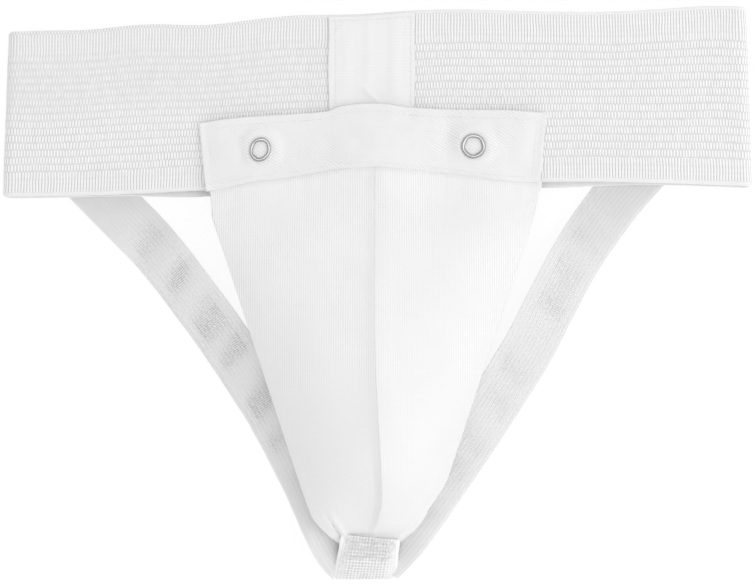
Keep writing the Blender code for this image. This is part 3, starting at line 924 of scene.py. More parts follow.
    def ridge_z(self, y: Array) -> Array:
        """The centre seam: a power curve down to the flap, a sine down to the tab and a short tail.

        Args:
            y: Places along the pouch.

        Returns:
            Heights above the floor.
        """
        up = np.clip((y - self.peak_y) / (self.seam_end_y + self.seam_arch - self.peak_y), 0.0, 1.0)
        above = self.peak_z - (self.peak_z - self.seam_ridge_z) * up**self.fall_power
        down = np.clip((y - self.panel_bottom_y) / (self.peak_y - self.panel_bottom_y), 0.0, 1.0)
        swell = np.sin(np.pi / 2 * down) ** self.rise_power
        below = self.bottom_ridge_z + (self.peak_z - self.bottom_ridge_z) * swell
        tail = smooth_step(self.panel_bottom_y + 2.0, self.lining_tail_y, y)
        below = below + (self.tail_ridge_z - below) * tail
        return np.where(y >= self.peak_y, above, below)

    def front_z(self, x: Array, y: Array) -> Array:
        """The pouch front: rim plus ridge times 1 - a|u| - (1 - a)|u|^p across, easing into the flap.

        Args:
            x: Places across the pouch.
            y: Places along it.

        Returns:
            Heights above the floor.
        """
        side = np.minimum(1.0, np.abs(x - self.middle_x) / np.maximum(self.half_width(y), TINY))
        section = 1 - self.sharpness * side - (1 - self.sharpness) * side**self.side_power
        rim = self.rim_z(y)
        tent = rim + (self.ridge_z(y) - rim) * section
        return tent + (self.flap_height(x) - tent) * smooth_step(self.blend_start_y, self.seam_y(x), y)

    def corner_droop(self, x: Array, y: Array) -> Array:
        """How far the cloth sinks on to the band towards the flap's two ends."""
        side = smooth_step(50.0, 72.0, np.abs(x - self.middle_x))
        return self.corner_drop * side * smooth_step(24.0, 46.0, y)

    def centre_x(self, y: Array) -> Array:
        """Where the centre seam wanders."""
        return curve_through(self.centre_line, y)

    def flap_top(self, x: Array) -> Array:
        """The flap's upper edge, which humps over the label."""
        return curve_through(self.flap_edge, x)

    def sewn_y(self, x: Array) -> Array:
        """Where the flap is sewn to the panels, a little unevenly."""
        return curve_through(self.sewn_line, x)


FORM = PouchForm()


class WeaveRow(IntEnum):
    """The kinds of rows of points up the waistband."""

    SELVAGE = 0
    BORDER_DIP = 1
    BORDER_CREST = 2
    COURSE_END = 3
    COURSE_MIDDLE = 4


@dataclass
class Waistband:
    """The wide elastic: one loop laid flat, woven in leaning rows between two ribbed borders."""

    half_length: float = 164.5
    thickness: float = 1.6
    back_z: float = 2.6
    front_z: float = 11.2
    nominal_width: float = 75.0
    rib_pitch: float = 1.3
    rib_depth: float = 0.24
    courses: int = 17
    course_span: tuple = (7.7, 64.0)
    course_start: float = 9.4
    low_selvage: tuple = (0.0, 0.6, 1.3)
    high_selvage: tuple = (73.9, 74.5, 75.0)
    low_border: tuple = (1.8, 7.2, 6)
    high_border: tuple = (64.5, 73.5, 10)
    rib_heights: tuple = (0.48, 0.95, 1.0, 0.82, 1.0)
    slit_heights: tuple = (0.48, 0.08, 0.0, 0.1, 0.03)
    inner_rows: int = 7
    plain_relief: float = 0.6
    edge_share: float = 0.6
    edge_bulge: float = 0.004
    woven_span: tuple = (7.5, 64.0)
    unevenness: float = 0.12
    left_shade: float = 0.25
    sways: tuple = ((0.25, 6.0), (0.3, 15.0))
    sway_margin: float = 0.08
    back_curls: tuple = ((-78.0, 34.0, 2.8), (74.0, 28.0, 2.6))
    back_below: tuple = ((-80.0, 34.0, 2.0), (76.0, 50.0, 1.8))
    back_below_least: float = 0.4
    back_above: tuple = ((-146.0, 40.0, 1.3), (0.0, 120.0, -0.7), (112.0, 40.0, 0.9))
    corner_round: float = 2.4
    end_slant: float = 0.016
    top_edge: tuple = (
        (-166, 113.6), (-132, 114.2), (-103, 116.7), (-76, 116.6), (-54, 119.0), (-36, 120.7), (-10, 121.2),
        (14, 122.8), (37, 123.3), (66, 122.6), (101, 122.3), (124, 123.4), (146, 124.8), (166, 124.6),
    )
    bottom_edge: tuple = (
        (-166, 41.9), (-132, 42.4), (-104, 43.3), (-78, 44.5), (0, 46.8), (74, 48.3), (96, 48.5), (120, 48.0),
        (146, 47.2), (166, 46.4),
    )

    def loop(self, along: Array) -> tuple[Array, Array, Array, Array]:
        """The band's middle line seen from its edge: two straights joined by half circles.

        Args:
            along: Millimetres round the loop, from the middle of the back to the left and on.

        Returns:
            X, Z and the two parts of the outward normal.
        """
        radius = (self.front_z - self.back_z) / 2
        straight = self.straight()
        arc = np.pi * radius
        middle_z = (self.front_z + self.back_z) / 2
        left = np.clip((along - straight) / radius, 0, np.pi)
        right = np.clip((along - 3 * straight - arc) / radius, 0, np.pi)
        on_back = np.where(along < straight, -along, 4 * straight + 2 * arc - along)
        on_front = along - 2 * straight - arc
        spans = [
            (along >= straight) & (along < straight + arc),
            (along >= straight + arc) & (along < 3 * straight + arc),
            (along >= 3 * straight + arc) & (along < 3 * straight + 2 * arc),
        ]
        left_x, right_x = -straight - radius * np.sin(left), straight + radius * np.sin(right)
        left_z, right_z = middle_z - radius * np.cos(left), middle_z + radius * np.cos(right)
        x = np.select(spans, [left_x, on_front, right_x], on_back)
        z = np.select(spans, [left_z, self.front_z, right_z], self.back_z)
        normal_x = np.select(spans, [-np.sin(left), 0.0, np.sin(right)], 0.0)
        normal_z = np.select(spans, [-np.cos(left), 1.0, np.cos(right)], -1.0)
        return x, z, normal_x, normal_z

    def straight(self) -> float:
        """Half of a straight layer's length, up to where the fold starts."""
        return self.half_length - self.thickness / 2 - (self.front_z - self.back_z) / 2

    def length(self) -> float:
        """The whole loop's length round its middle line."""
        return 4 * self.straight() + np.pi * (self.front_z - self.back_z)

    def weave_rows(self) -> tuple[Array, Array, Array, Array]:
        """The rows of points up the outer face, from the lower selvage to the upper one.

        Returns:
            Millimetres from the lower edge, how high ribs and the slits between them stand, and by which
            half pitch the ribs are moved, 0 or 1: every other course sits between the ribs below it.
        """
        low, high = np.linspace(*self.low_border), np.linspace(*self.high_border)
        middle = np.linspace(*self.course_span, 3 * self.courses, endpoint=False)
        middle = middle + self.course_start / self.courses
        height = np.concatenate([self.low_selvage, low, middle, high, self.high_selvage])
        course = [WeaveRow.COURSE_END, WeaveRow.COURSE_MIDDLE, WeaveRow.COURSE_END]
        kinds = [
            np.full(len(self.low_selvage), WeaveRow.SELVAGE),
            np.tile([WeaveRow.BORDER_DIP, WeaveRow.BORDER_CREST], len(low) // 2),
            np.tile(course, self.courses),
            np.tile([WeaveRow.BORDER_CREST, WeaveRow.BORDER_DIP], len(high) // 2),
            np.full(len(self.high_selvage), WeaveRow.SELVAGE),
        ]
        kind = np.concatenate(kinds).astype(int)
        rib, slit = np.array(self.rib_heights)[kind], np.array(self.slit_heights)[kind]
        moved = np.zeros(len(height), int)
        first = len(self.low_selvage) + len(low)
        moved[first : first + len(middle)] = np.repeat(np.arange(self.courses), len(course)) % 2
        return height, rib, slit, moved

    def heights(self, x: Array, share: Array, front: Array) -> Array:
        """Y up the band: its two layers have slightly different edges, so that the back one shows.

        Args:
            x: Place along the band.
            share: Share of the way from the lower edge to the upper one.
            front: 1 on the front layer, 0 on the back one.

        Returns:
            Y in millimetres.
        """
        below = humps(x, self.back_below) + self.back_below_least
        above = humps(x, self.back_above)
        end = np.clip(1 - (self.half_length - np.abs(x)) / self.corner_round, 0.0, 1.0)
        corner = self.corner_round * (1 - np.sqrt(1 - end * end))
        low = curve_through(self.bottom_edge, x) - (1 - front) * below + corner
        high = curve_through(self.top_edge, x) + (1 - front) * above - corner
        return low + (high - low) * share

    def surface(self) -> Surface:
        """The whole loop: a woven outer face, rounded edges and a plain inner face.

        Returns:
            The closed surface, its relief highest on the ribs.
        """
        height, rib, slit, moved = self.weave_rows()
        inner = np.linspace(1, 0, self.inner_rows)
        plain = np.full(len(inner) + 2, self.plain_relief)
        top, bottom = [1 + self.edge_bulge], [-self.edge_bulge]
        share = np.concatenate([height / self.nominal_width, top, inner, bottom])[:, None]
        outward = np.concatenate([np.ones(len(height)), [0.0], -np.ones(len(inner)), [0.0]])[:, None]
        outer = outward > 0
        edge = np.ones(len(share))
        edge[[0, len(height) - 1, len(height) + 1, -2]] = self.edge_share
        rib, slit = (np.concatenate([part, plain])[:, None] for part in (rib, slit))
        moved = np.concatenate([moved, np.zeros(len(plain), int)])[:, None]
        columns = 2 * round(self.length() / self.rib_pitch)
        step = self.length() / columns
        x, z, normal_x, normal_z = self.loop(np.arange(columns)[None] * step)
        front = smooth_step(self.back_z, self.front_z, z)
        across = share * self.nominal_width
        woven = (across > self.woven_span[0]) & (across < self.woven_span[1])
        chance = np.random.default_rng(4).uniform(0, 1, (len(share), columns))
        # Painted shade: towards the band's upper left, away from the key light, the ribs are lowered and the
        # slits raised, so the weave is darker and flatter there in colour and in relief.
        wear_and_shade = self.left_shade * smooth_step(90.0, -110.0, x) * smooth_step(25.0, 45.0, across) * outer
        slit = slit + self.unevenness * chance**2 * woven + 0.5 * wear_and_shade
        relief = np.where((np.arange(columns) + moved) % 2 == 0, rib - 1.2 * wear_and_shade, slit)
        offset = outward * edge[:, None] * self.thickness / 2
        offset = offset + self.rib_depth * (relief - self.plain_relief) * outer
        wave = 0.4 * soft_noise(x, across, 40.0, 3) * front
        wave = wave * smooth_step(30.0, 60.0, np.abs(x + 3.0))
        margin = self.sway_margin
        inside = smooth_step(0.0, margin, share) * smooth_step(1.0, 1 - margin, share) * outer * front
        sway_x, sway_y = (amount * soft_noise(x, across, size, 8) * inside for amount, size in self.sways)
        curl = (1 - front) * smooth_step(0.3, 0.0, share) * humps(x, self.back_curls)
        points = stacked(
            (x + normal_x * offset + sway_x) * (1 - self.end_slant * share),
            self.heights(x, share, front) + sway_y,
            z + normal_z * offset + wave + curl,
        )
        u = np.arange(columns + 1) * step
        v = np.append(across, across[0])
        band = wrapped(points, stacked(u[None], v[:, None], 0.0)[..., :2])
        band.relief = relief.ravel()
        return band.split_low()

    def build(self, wardrobe: Wardrobe) -> None:
        """Makes the band, which rides on the belt.

        Args:
            wardrobe: The finishes.
        """
        piece = self.surface().to_object("elastic_waistband", smooth=False)
        wardrobe.fit(piece, BAND_ELASTIC, Body.BELT, "waistband")


@dataclass
class FrontLabel:
    """A bare satin label sewn over the middle of the band, its lower end under the flap."""

    left_x: float = -21.3
    right_x: float = 16.1
    bottom_y: float = 76.5
    thickness: float = 0.4
    z: float = 12.4
    columns: int = 76
    rows: int = 92
    top_margin: float = 0.8
    creases: tuple = (
        ((-9.0, 92.0), (1.5, 82.0), 0.4), ((-13.0, 88.5), (-19.5, 81.0), 0.3),
        ((4.0, 83.0), (14.0, 87.5), 0.25), ((-20.0, 111.0), (-14.0, 118.0), 0.3),
    )
    waves: tuple = ((7.5, 4.5, 0.5), (-4.0, 3.5, 0.3), (-13.5, 4.0, 0.22))
    softness: float = 0.2
    flat_margin: float = 4.0
    stitch_length: float = 2.0
    stitch_gap: float = 0.7
    thread_radius: float = 0.16
    thread_rise: float = 0.12
    top_row_ends: tuple = (1.6, 2.0)
    side_row_insets: tuple = (3.0, 1.6)

    def heights(self, x: Array, y: Array) -> Array:
        """The label's middle surface: soft upright waves, turned side edges and creases down to the flap.

        Args:
            x: Places across the label.
            y: Places up it.

        Returns:
            Heights above the floor.
        """
        from_left, from_right = x - self.left_x, self.right_x - x
        fold = 0.2 * smooth_step(2.3, 1.7, from_left) + 0.16 * smooth_step(1.6, 1.1, from_right)
        lift = np.zeros_like(x)
        for first, last, depth in self.creases:
            distance, share = beside_line(x, y, first, last)
            lift += depth * bell(distance, 1.1) * hump(share - 0.55, 0.75)
        inside = smooth_step(0, self.flat_margin, from_left) * smooth_step(0, self.flat_margin, from_right)
        waves = humps(x, self.waves) * smooth_step(79.0, 96.0, y) * smooth_step(124.0, 112.0, y)
        soft = self.softness + self.softness * soft_noise(x, y, 7.5, 5)
        return self.z + fold + (lift + soft + waves) * inside

    def thread(self, band: Waistband) -> Surface:
        """Stitches along the top edge and up both sides, lying on the label's face.

        Args:
            band: The band that the label is sewn on.

        Returns:
            All the stitches.
        """
        pitch = self.stitch_length + self.stitch_gap
        top_x = np.arange(self.left_x + self.top_row_ends[0], self.right_x - self.top_row_ends[1], pitch)
        side_y = np.arange(82.0, 119.0, pitch)
        sides = (self.left_x + self.side_row_insets[0], self.right_x - self.side_row_insets[1])
        rows = [(top_x, curve_through(band.top_edge, top_x) - 2.6, self.stitch_length, 0.0)]
        rows += [(np.full_like(side_y, x), side_y, 0.0, self.stitch_length) for x in sides]
        starts, ends = [], []
        for x, y, step_x, step_y in rows:
            for points, to_x, to_y in ((starts, x, y), (ends, x + step_x, y + step_y)):
                points.append(stacked(to_x, to_y, self.heights(to_x, to_y) + self.thickness / 2))
        return stitches(np.concatenate(starts), np.concatenate(ends), self.thread_radius, self.thread_rise)

    def build(self, wardrobe: Wardrobe, band: Waistband) -> None:
        """Makes the label and its stitches.

        Args:
            wardrobe: The finishes.
            band: The band that it is sewn on.
        """
        u, v = np.meshgrid(np.linspace(0, 1, self.columns), np.linspace(0, 1, self.rows))
        x = self.left_x + (self.right_x - self.left_x) * u
        top = curve_through(band.top_edge, x) - self.top_margin
        y = self.bottom_y + (top - self.bottom_y) * v
        x = x + 0.35 * np.sin(y * 0.21) * (u - 0.5)
        middle = stacked(x, y, self.heights(x, y))
        label = cloth_shell(middle, self.thickness, middle[..., :2]).to_object("satin_label")
        wardrobe.fit(label, SATIN, Body.BELT, "front_label")
        wardrobe.fit(self.thread(band).to_object("label_stitches"), THREAD, Body.BELT)


@dataclass
class LegStrap:
    """A narrow elastic from under the back of the waistband down to the tab."""

    side: Side
    path: tuple
    plan_width: float
    end_z: float
    dents: tuple
    width: float = 25.0
    thickness: float = 1.3
    path_steps: int = 800
    tilt: float = math.radians(23)
    tilt_starts: tuple = (32.0, 6.0)
    tilt_ends: tuple = (-111.0, -69.0)
    lift_span: tuple = (-72.0, -113.0)
    dent_depth: float = 2.0
    toe_lift: float = 3.2
    edge_lift: float = 2.8
    edge_thin: float = 0.16
    rib_pitch: float = 0.95
    rib_depth: float = 0.14
    rib_heights: tuple = (0.34, 0.95, 0.55, 0.95)
    border: float = 4.6
    weave_shown: float = 0.5
    toe_weave: float = 0.4
    mean_relief: float = 0.72

    def centre_line(self) -> tuple[Array, Array]:
        """The path as evenly spaced points, two for each rib pitch.

        Returns:
            Millimetres along the strap, and points of its middle line seen from above.
        """
        path = np.array(self.path, float)
        share = np.linspace(0, 1, self.path_steps)
        steps = np.linalg.norm(np.diff(spline(path, share), axis=0), axis=1)
        travel = np.concatenate([[0], np.cumsum(steps)])
        run = np.linspace(0, travel[-1], 2 * round(travel[-1] / self.rib_pitch) + 1)
        return run, spline(path, np.interp(run, travel, share))

    def surface(self) -> Surface:
        """The strap: its path carried sideways, leaning under the pouch, with ribs, rows and soft dents.

        Returns:
            The closed surface, its front upwards.
        """
        run, centre = self.centre_line()
        along = unit(np.gradient(centre, axis=0))
        inner = np.stack([-along[:, 1], along[:, 0]], axis=1) * -self.side.value
        place = np.linspace(-0.5, 0.5, 2 * round(self.width / self.rib_pitch) + 1)
        y = centre[:, 1]
        lean = smooth_step(*self.tilt_starts, y) * smooth_step(*self.tilt_ends, y)
        base = self.thickness / 2 + 0.15
        base = base + (self.end_z - base) * smooth_step(*self.lift_span, y)
        base = base + self.toe_lift * hump(y + 98.0, 17.0)
        free = (smooth_step(46.0, 26.0, y) * smooth_step(-112.0, -96.0, y))[:, None]
        dent = self.hollows(run, y, place) * free
        rise = (math.sin(self.tilt) * lean)[:, None] * (place + 0.5) * self.width
        rise = rise + self.edge_lift * hump(y + 108.0, 14.0)[:, None] * (0.5 - place)
        lift = base[:, None] + rise + self.dent_depth * (0.8 * free - dent)
        spot = centre[:, None] + inner[:, None] * (place[:, None] * self.plan_width)
        middle = stacked(spot[..., 0], spot[..., 1], lift)
        edge_distance = self.width * (0.5 - np.abs(place))
        relief = self.relief(dent, free, y, edge_distance)
        uv = stacked((place + 0.5) * self.width, run[:, None], 0.0)[..., :2]
        flip = 1 if self.side is Side.LEFT else -1
        middle, uv, relief = (part[::-1, ::flip] for part in (middle, uv, relief))
        taper = smooth_step(0.0, 1.8, edge_distance)
        thickness = self.thickness * (self.edge_thin + (1 - self.edge_thin) * taper)
        level = (self.thickness - thickness) / 2 * smooth_step(0.1, 0.4, place)
        middle[..., 2] += level[::flip]
        return cloth_shell(middle, thickness, uv, relief, self.rib_depth)

    def relief(self, dent: Array, free: Array, y: Array, edge_distance: Array) -> Array:
        """How far the weave stands up: ribs crossed by rows, clearer in the hollows and at the toe, where
        their dark gaps are partly painted shade.

        Args:
            dent: Depths of the hollows.
            free: 1 where the strap lies free and 0 where it is sewn in.
            y: The path's y, one for each row.
            edge_distance: Millimetres from the nearer edge, one for each rib.

        Returns:
            Heights from 0 to about 1.
        """
        rows, ribs = dent.shape
        grid = smooth_step(self.border - 0.6, self.border + 0.6, edge_distance)
        # In the hollows, and at the toe by the tab, more of the weave's dark gaps show. This is partly the
        # slits opening where the strap bends, and partly painted shade in the hollows and under the pouch.
        toe = self.toe_weave * smooth_step(-90.0, -106.0, y)[:, None]
        deep = np.maximum(smooth_step(0.0, 1.0, dent), toe)
        rib = np.array(self.rib_heights)[np.arange(ribs) % len(self.rib_heights)]
        row = np.where(np.arange(rows) % 2 == 1, 1.0, 0.0)[:, None]
        row = row + (1 - row) * (0.65 - 0.5 * deep)
        shown = self.weave_shown + (0.95 - self.weave_shown) * deep
        woven = rib * (row * grid + 0.95 * (1 - grid))
        relief = self.mean_relief + (woven - self.mean_relief) * shown
        chance = np.random.default_rng(17).uniform(-1, 1, relief.shape)
        relief = relief + chance * (0.05 + 0.13 * deep) * free
        return np.where(edge_distance < 1.0, 0.8, relief)

    def hollows(self, run: Array, y: Array, place: Array) -> Array:
        """Soft hollows pressed into the strap: the sum of bells along it and across it.

        Args:
            run: Millimetres along the strap, falling in y.
            y: The path's y there.
            place: Shares of the width, from -0.5 at the outer edge to 0.5.

        Returns:
            Depths from 0 to about 1, one row for each place along the strap.
        """
        depth = np.zeros((len(run), len(place)))
        for at_y, at_place, length, width, strength in self.dents:
            lean = run[:, None] - np.interp(-at_y, -y, run) + 7.0 * place
            depth += strength * bell(lean, length) * bell(place - at_place, width)
        noise = soft_noise(run[:, None], place * self.width, 9.0, 31)
        return depth * (1.0 + 0.25 * noise)

    def build(self, wardrobe: Wardrobe) -> None:
        """Makes the strap, which rides on the belt.

        Args:
            wardrobe: The finishes.
        """
        piece = self.surface().to_object(f"elastic_strap_{self.side.word}", smooth=False)
        wardrobe.fit(piece, STRAP_ELASTIC, Body.BELT, f"leg_strap_{self.side.word}")


@dataclass
class BottomTab:
    """A short strip of strap elastic, folded round the bottom of the pouch and sewn with zigzags."""

    thickness: float = 1.3
    columns: int = 39
    rows: int = 75
    cloth_size: tuple = (25.0, 48.0)
    top_left_x: float = -15.4
    top_right_x: float = 9.4
    fold_left_x: float = -20.6
    fold_right_x: float = 6.8
    fold_share: float = 0.55
    top_slant: float = 2.5
    fold_slant: float = -0.8
    corner_droop: float = 1.1
    side_droop: float = 4.5
    profile: tuple = (
        (-105.6, 16.2), (-112.5, 14.2), (-119.5, 10.7), (-124.7, 6.8), (-125.8, 3.2), (-122.3, 1.4),
        (-118, 0.9), (-113, 0.85), (-108, 0.85),
    )
    top_thin: float = 0.3
    rib_depth: float = 0.3
    unevenness: float = 0.1
    tack_rows: tuple = (0.05, 0.105, 0.165)
    tack_count: int = 30
    tack_swing: float = 0.028
    tack_slip: float = 0.012
    thread_radius: float = 0.2
    thread_rise: float = 0.18

    def middle(self, across: Array, along: Array) -> Array:
        """The tab's middle surface: its profile carried sideways, widening to the fold.

        Args:
            across: Share of the way from the left edge to the right one.
            along: Share of the way from the top edge, round the fold, to the lower edge.

        Returns:
            Points.
        """
        line = spline(np.array(self.profile), along)
        spread = np.minimum(1.0, along / self.fold_share)
        left = self.top_left_x + (self.fold_left_x - self.top_left_x) * spread
        right = self.top_right_x + (self.fold_right_x - self.top_right_x) * spread
        past_fold = smooth_step(1.0, self.fold_share, along)
        slant = self.top_slant * (1 - spread) + self.fold_slant * spread * past_fold
        side = (2 * across - 1) ** 2
        hanging = smooth_step(0.03, 0.2, along) * smooth_step(0.5, 0.32, along)
        droop = self.corner_droop * side * (1 - spread) + self.side_droop * side**2 * hanging
        return stacked(left + (right - left) * across, line[..., 0] - slant * across, line[..., 1] - droop)

    def relief(self, across: Array) -> Array:
        """How far the weave stands up: a grid of ribs and rows between plainer borders.

        Args:
            across: Shares of the way from the left edge, on the tab's grid.

        Returns:
            Heights from 0 to about 1.
        """
        edge = np.minimum(across, 1 - across)
        crest = np.where(np.arange(self.columns) % 2 == 1, 1.0, 0.3) * np.ones((self.rows, 1))
        row_crest = np.where(np.arange(self.rows) % 2 == 1, 1.0, 0.35)[:, None]
        grid = smooth_step(0.13, 0.2, edge)
        chance = np.random.default_rng(9).uniform(-self.unevenness, self.unevenness, across.shape)
        border = 0.36 + 0.18 * crest
        woven = crest * row_crest * grid + border * (1 - grid)
        return np.where(edge < 0.03, 0.8, woven + chance)

    def build(self, wardrobe: Wardrobe) -> None:
        """Makes the tab and the zigzag bar tacks along its top edge.

        Args:
            wardrobe: The finishes.
        """
        across, along = np.meshgrid(np.linspace(0, 1, self.columns), np.linspace(1, 0, self.rows))
        middle = self.middle(across, along)
        uv = stacked(across * self.cloth_size[0], along * self.cloth_size[1], 0.0)[..., :2]
        taper = smooth_step(0.0, 0.05, along)
        thickness = self.thickness * (self.top_thin + (1 - self.top_thin) * taper)
        middle[..., 2] -= (self.thickness - thickness) / 2
        shell = cloth_shell(middle, thickness, uv, self.relief(across), self.rib_depth)
        piece = shell.to_object("elastic_tab", smooth=False)
        wardrobe.fit(piece, TAB_ELASTIC, Body.BELT, "bottom_tab")
        rows = [self.tack(along, seed) for seed, along in enumerate(self.tack_rows)]
        starts, ends = (np.concatenate(parts) for parts in zip(*rows))
        thread = stitches(starts, ends, self.thread_radius, self.thread_rise).to_object("tab_bar_tacks")
        wardrobe.fit(thread, THREAD, Body.BELT)

    def tack(self, along: float, seed: int) -> tuple[Array, Array]:
        """One row of hasty zigzag: points that swing up and down along the tab's face, each a little off.

        Args:
            along: The row's share of the way along the tab.
            seed: Which set of random slips.

        Returns:
            First and last points of the stitches.
        """
        count = self.tack_count + 1
        slip = self.tack_slip * np.random.default_rng(seed).uniform(-1, 1, (2, count))
        across = np.linspace(0.07, 0.93, count) + slip[0]
        swing = self.tack_swing * np.where(np.arange(count) % 2 == 0, 1.0, -1.0)
        points = self.middle(across, along + swing + slip[1])
        points[:, 2] += self.thickness / 2 + 0.12
        return points[:-1], points[1:]


@dataclass
class PocketLining:
    """The pocket's back wall, from its lap on the band down into the tab."""

    top_y: float = 53.0
    edge_inset: float = 1.1
    columns: int = 61
    rows: int = 121

    def build(self, wardrobe: Wardrobe) -> None:
        """Makes the lining, which rides on the belt and is no wider on the band than where it lands there.

        Args:
            wardrobe: The finishes.
        """
        u, v = np.meshgrid(np.linspace(-1, 1, self.columns), np.linspace(0, 1, self.rows))
        y = FORM.lining_tail_y + (self.top_y - FORM.lining_tail_y) * v
        widest = FORM.half_width(np.array(FORM.landing_span[0]))
        half = np.minimum(FORM.half_width(y), widest) - FORM.bottom_inset(u, y)
        x = FORM.middle_x + u * (half - self.edge_inset)
        middle = stacked(x, y, FORM.lining_z(y))
        piece = cloth_shell(middle, FORM.lining_thickness, middle[..., :2]).to_object("jersey_lining")
        wardrobe.fit(piece, LINING_JERSEY, Body.BELT, "pocket_lining")


def lift_from_side(piece: bpy.types.Object) -> None:
    """Bakes a piece of the pocket front's transform into its mesh."""
    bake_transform(piece)


@dataclass
class PouchPanel:
    """One jersey panel of the pocket's front, from the welted centre seam out to the side seam."""

    side: Side
    rim_corner: float
    pleat_line: tuple
    pleat_depth: float
    bottom_y: float = -112.5
    columns: int = 81
    rows: int = 161
    even_share: float = 0.4
    top_lap: float = 0.3
    seam_lap: float = 0.4
    rim_inset: float = 0.9
    least_weave: float = 0.25

    def points(self) -> Array:
        """The panel's middle surface: the pouch's form with a welted seam, puckers, a pleat and soft dents.

        Returns:
            A grid of points, X rising along its rows and Y up its columns.
        """
        sign = self.side.value
        share = np.linspace(0, 1, self.columns)
        out = (1 - self.even_share) * (0.5 - 0.5 * np.cos(np.pi * share)) + self.even_share * share
        u, v = np.meshgrid(out, np.linspace(0, 1, self.rows))
        top = FORM.sewn_y(FORM.middle_x + sign * u * FORM.flap_bottom_half_width) + self.top_lap
        y = self.bottom_y + (top - self.bottom_y) * v
        start = FORM.centre_x(y) + (self.seam_lap if self.side is Side.LEFT else 0.0)
        inset = self.rim_inset + self.rim_corner * smooth_step(31.0, 44.0, y)
        full = sign * (FORM.half_width(y) - inset)
        rim = FORM.middle_x + full - sign * FORM.bottom_inset(np.array(sign), y)
        x = start + (rim - start) * u
        seam_distance, rim_distance, top_distance = np.abs(x - start), np.abs(rim - x), top - y
        z = FORM.front_z(FORM.middle_x + full * u, y) - FORM.corner_droop(x, y)
        z += self.welt(y, seam_distance, top_distance)
        if self.side is Side.LEFT:
            groove = 0.5 * bell(rim_distance - 4.2, 1.4)
            z -= groove * smooth_step(-30.0, -50.0, y) * smooth_step(-96.0, -78.0, y)
        z -= (1.25 + 0.5 * FORM.seam_depth(x)) * smooth_step(2.4, 0.4, top_distance)
        inside = smooth_step(0, 9, rim_distance) * smooth_step(0, 9, seam_distance)
        inside = inside * smooth_step(-112, -92, y) * smooth_step(0, 12, top_distance)
        soft = 0.9 * soft_noise(x, y, 26, 11) + 0.38 * soft_noise(x + 0.4 * y, y, 13, 12)
        z += self.puckers(x, y, rim_distance, top_distance) + soft * inside + self.pleat(x, y)
        grid = stacked(x, y, z)
        return grid if self.side is Side.RIGHT else grid[:, ::-1]

    def welt(self, y: Array, seam_distance: Array, top_distance: Array) -> Array:
        """How far the panel rises at the centre seam: a short ramp on the left, a long one on the right.

        Args:
            y: Places along the pouch.
            seam_distance: Millimetres from the centre seam.
            top_distance: Millimetres below the flap's seam.

        Returns:
            Heights above the plain form.
        """
        low = smooth_step(-58.0, -88.0, y)
        crest = 1.0 + 2.2 * low + 0.9 * smooth_step(15.0, 6.0, top_distance)
        shown = smooth_step(-106.0, -99.0, y) * smooth_step(0.3, 3.0, top_distance)
        if self.side is Side.LEFT:
            reach = 3.8 - 1.2 * low
            ramp = np.clip(1 - (seam_distance - self.seam_lap) / reach, 0, 1) ** 1.2
            dip = 0.8 * smooth_step(30.0, 4.0, seam_distance)
            edge = 0.6 * smooth_step(0.6, 0.1, seam_distance)
            return ((crest - 0.15) * ramp - dip) * shown - edge
        dip = 0.8 * np.clip(1 - seam_distance / 7.0, 0, 1) ** 2
        return (crest * smooth_step(26.0, 0, seam_distance) - dip) * shown

    def puckers(self, x: Array, y: Array, rim_distance: Array, top_distance: Array) -> Array:
        """Small puckers along the seam under the flap and along the side seam: sines of uneven pace.

        Args:
            x: Places across the pouch.
            y: Places along it.
            rim_distance: Millimetres from the side seam.
            top_distance: Millimetres below the flap's seam.

        Returns:
            Heights above the plain form.
        """
        top = 0.16 * np.sin(x * 0.62 + 1.3 * np.sin(x * 0.21))
        top = top * smooth_step(13.0, 2.5, top_distance) * smooth_step(0.3, 3.0, top_distance)
        rim = 0.25 * np.sin(y * 0.7 + np.sin(y * 0.17))
        return top + rim * smooth_step(9.0, 1.5, rim_distance)

    def pleat(self, x: Array, y: Array) -> Array:
        """A short pleat from the tab's corner up into the panel: a fold beside a groove, each a bell.

        Args:
            x: Places across the pouch.
            y: Places along it.

        Returns:
            Heights above the plain form.
        """
        distance, share = beside_line(x, y, *self.pleat_line)
        fade = smooth_step(1.15, 0.3, share) * smooth_step(-0.6, 0.0, share)
        inward = distance * -self.side.value
        folds = 0.8 * bell(inward - 1.1, 1.2) - bell(inward + 0.6, 0.8)
        return self.pleat_depth * folds * fade

    def build(self, wardrobe: Wardrobe) -> None:
        """Makes the panel, whose knit is pulled smooth towards its bottom.

        Args:
            wardrobe: The finishes.
        """
        points = self.points()
        clear = self.least_weave + (1 - self.least_weave) * smooth_step(-65.0, 15.0, points[..., 1])
        shell = cloth_shell(points, FORM.panel_thickness, points[..., :2], clear)
        panel = shell.to_object(f"jersey_panel_{self.side.word}")
        wardrobe.dress(panel, JERSEY)
        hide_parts(f"pouch_panel_{self.side.word}")
        lift_from_side(panel)


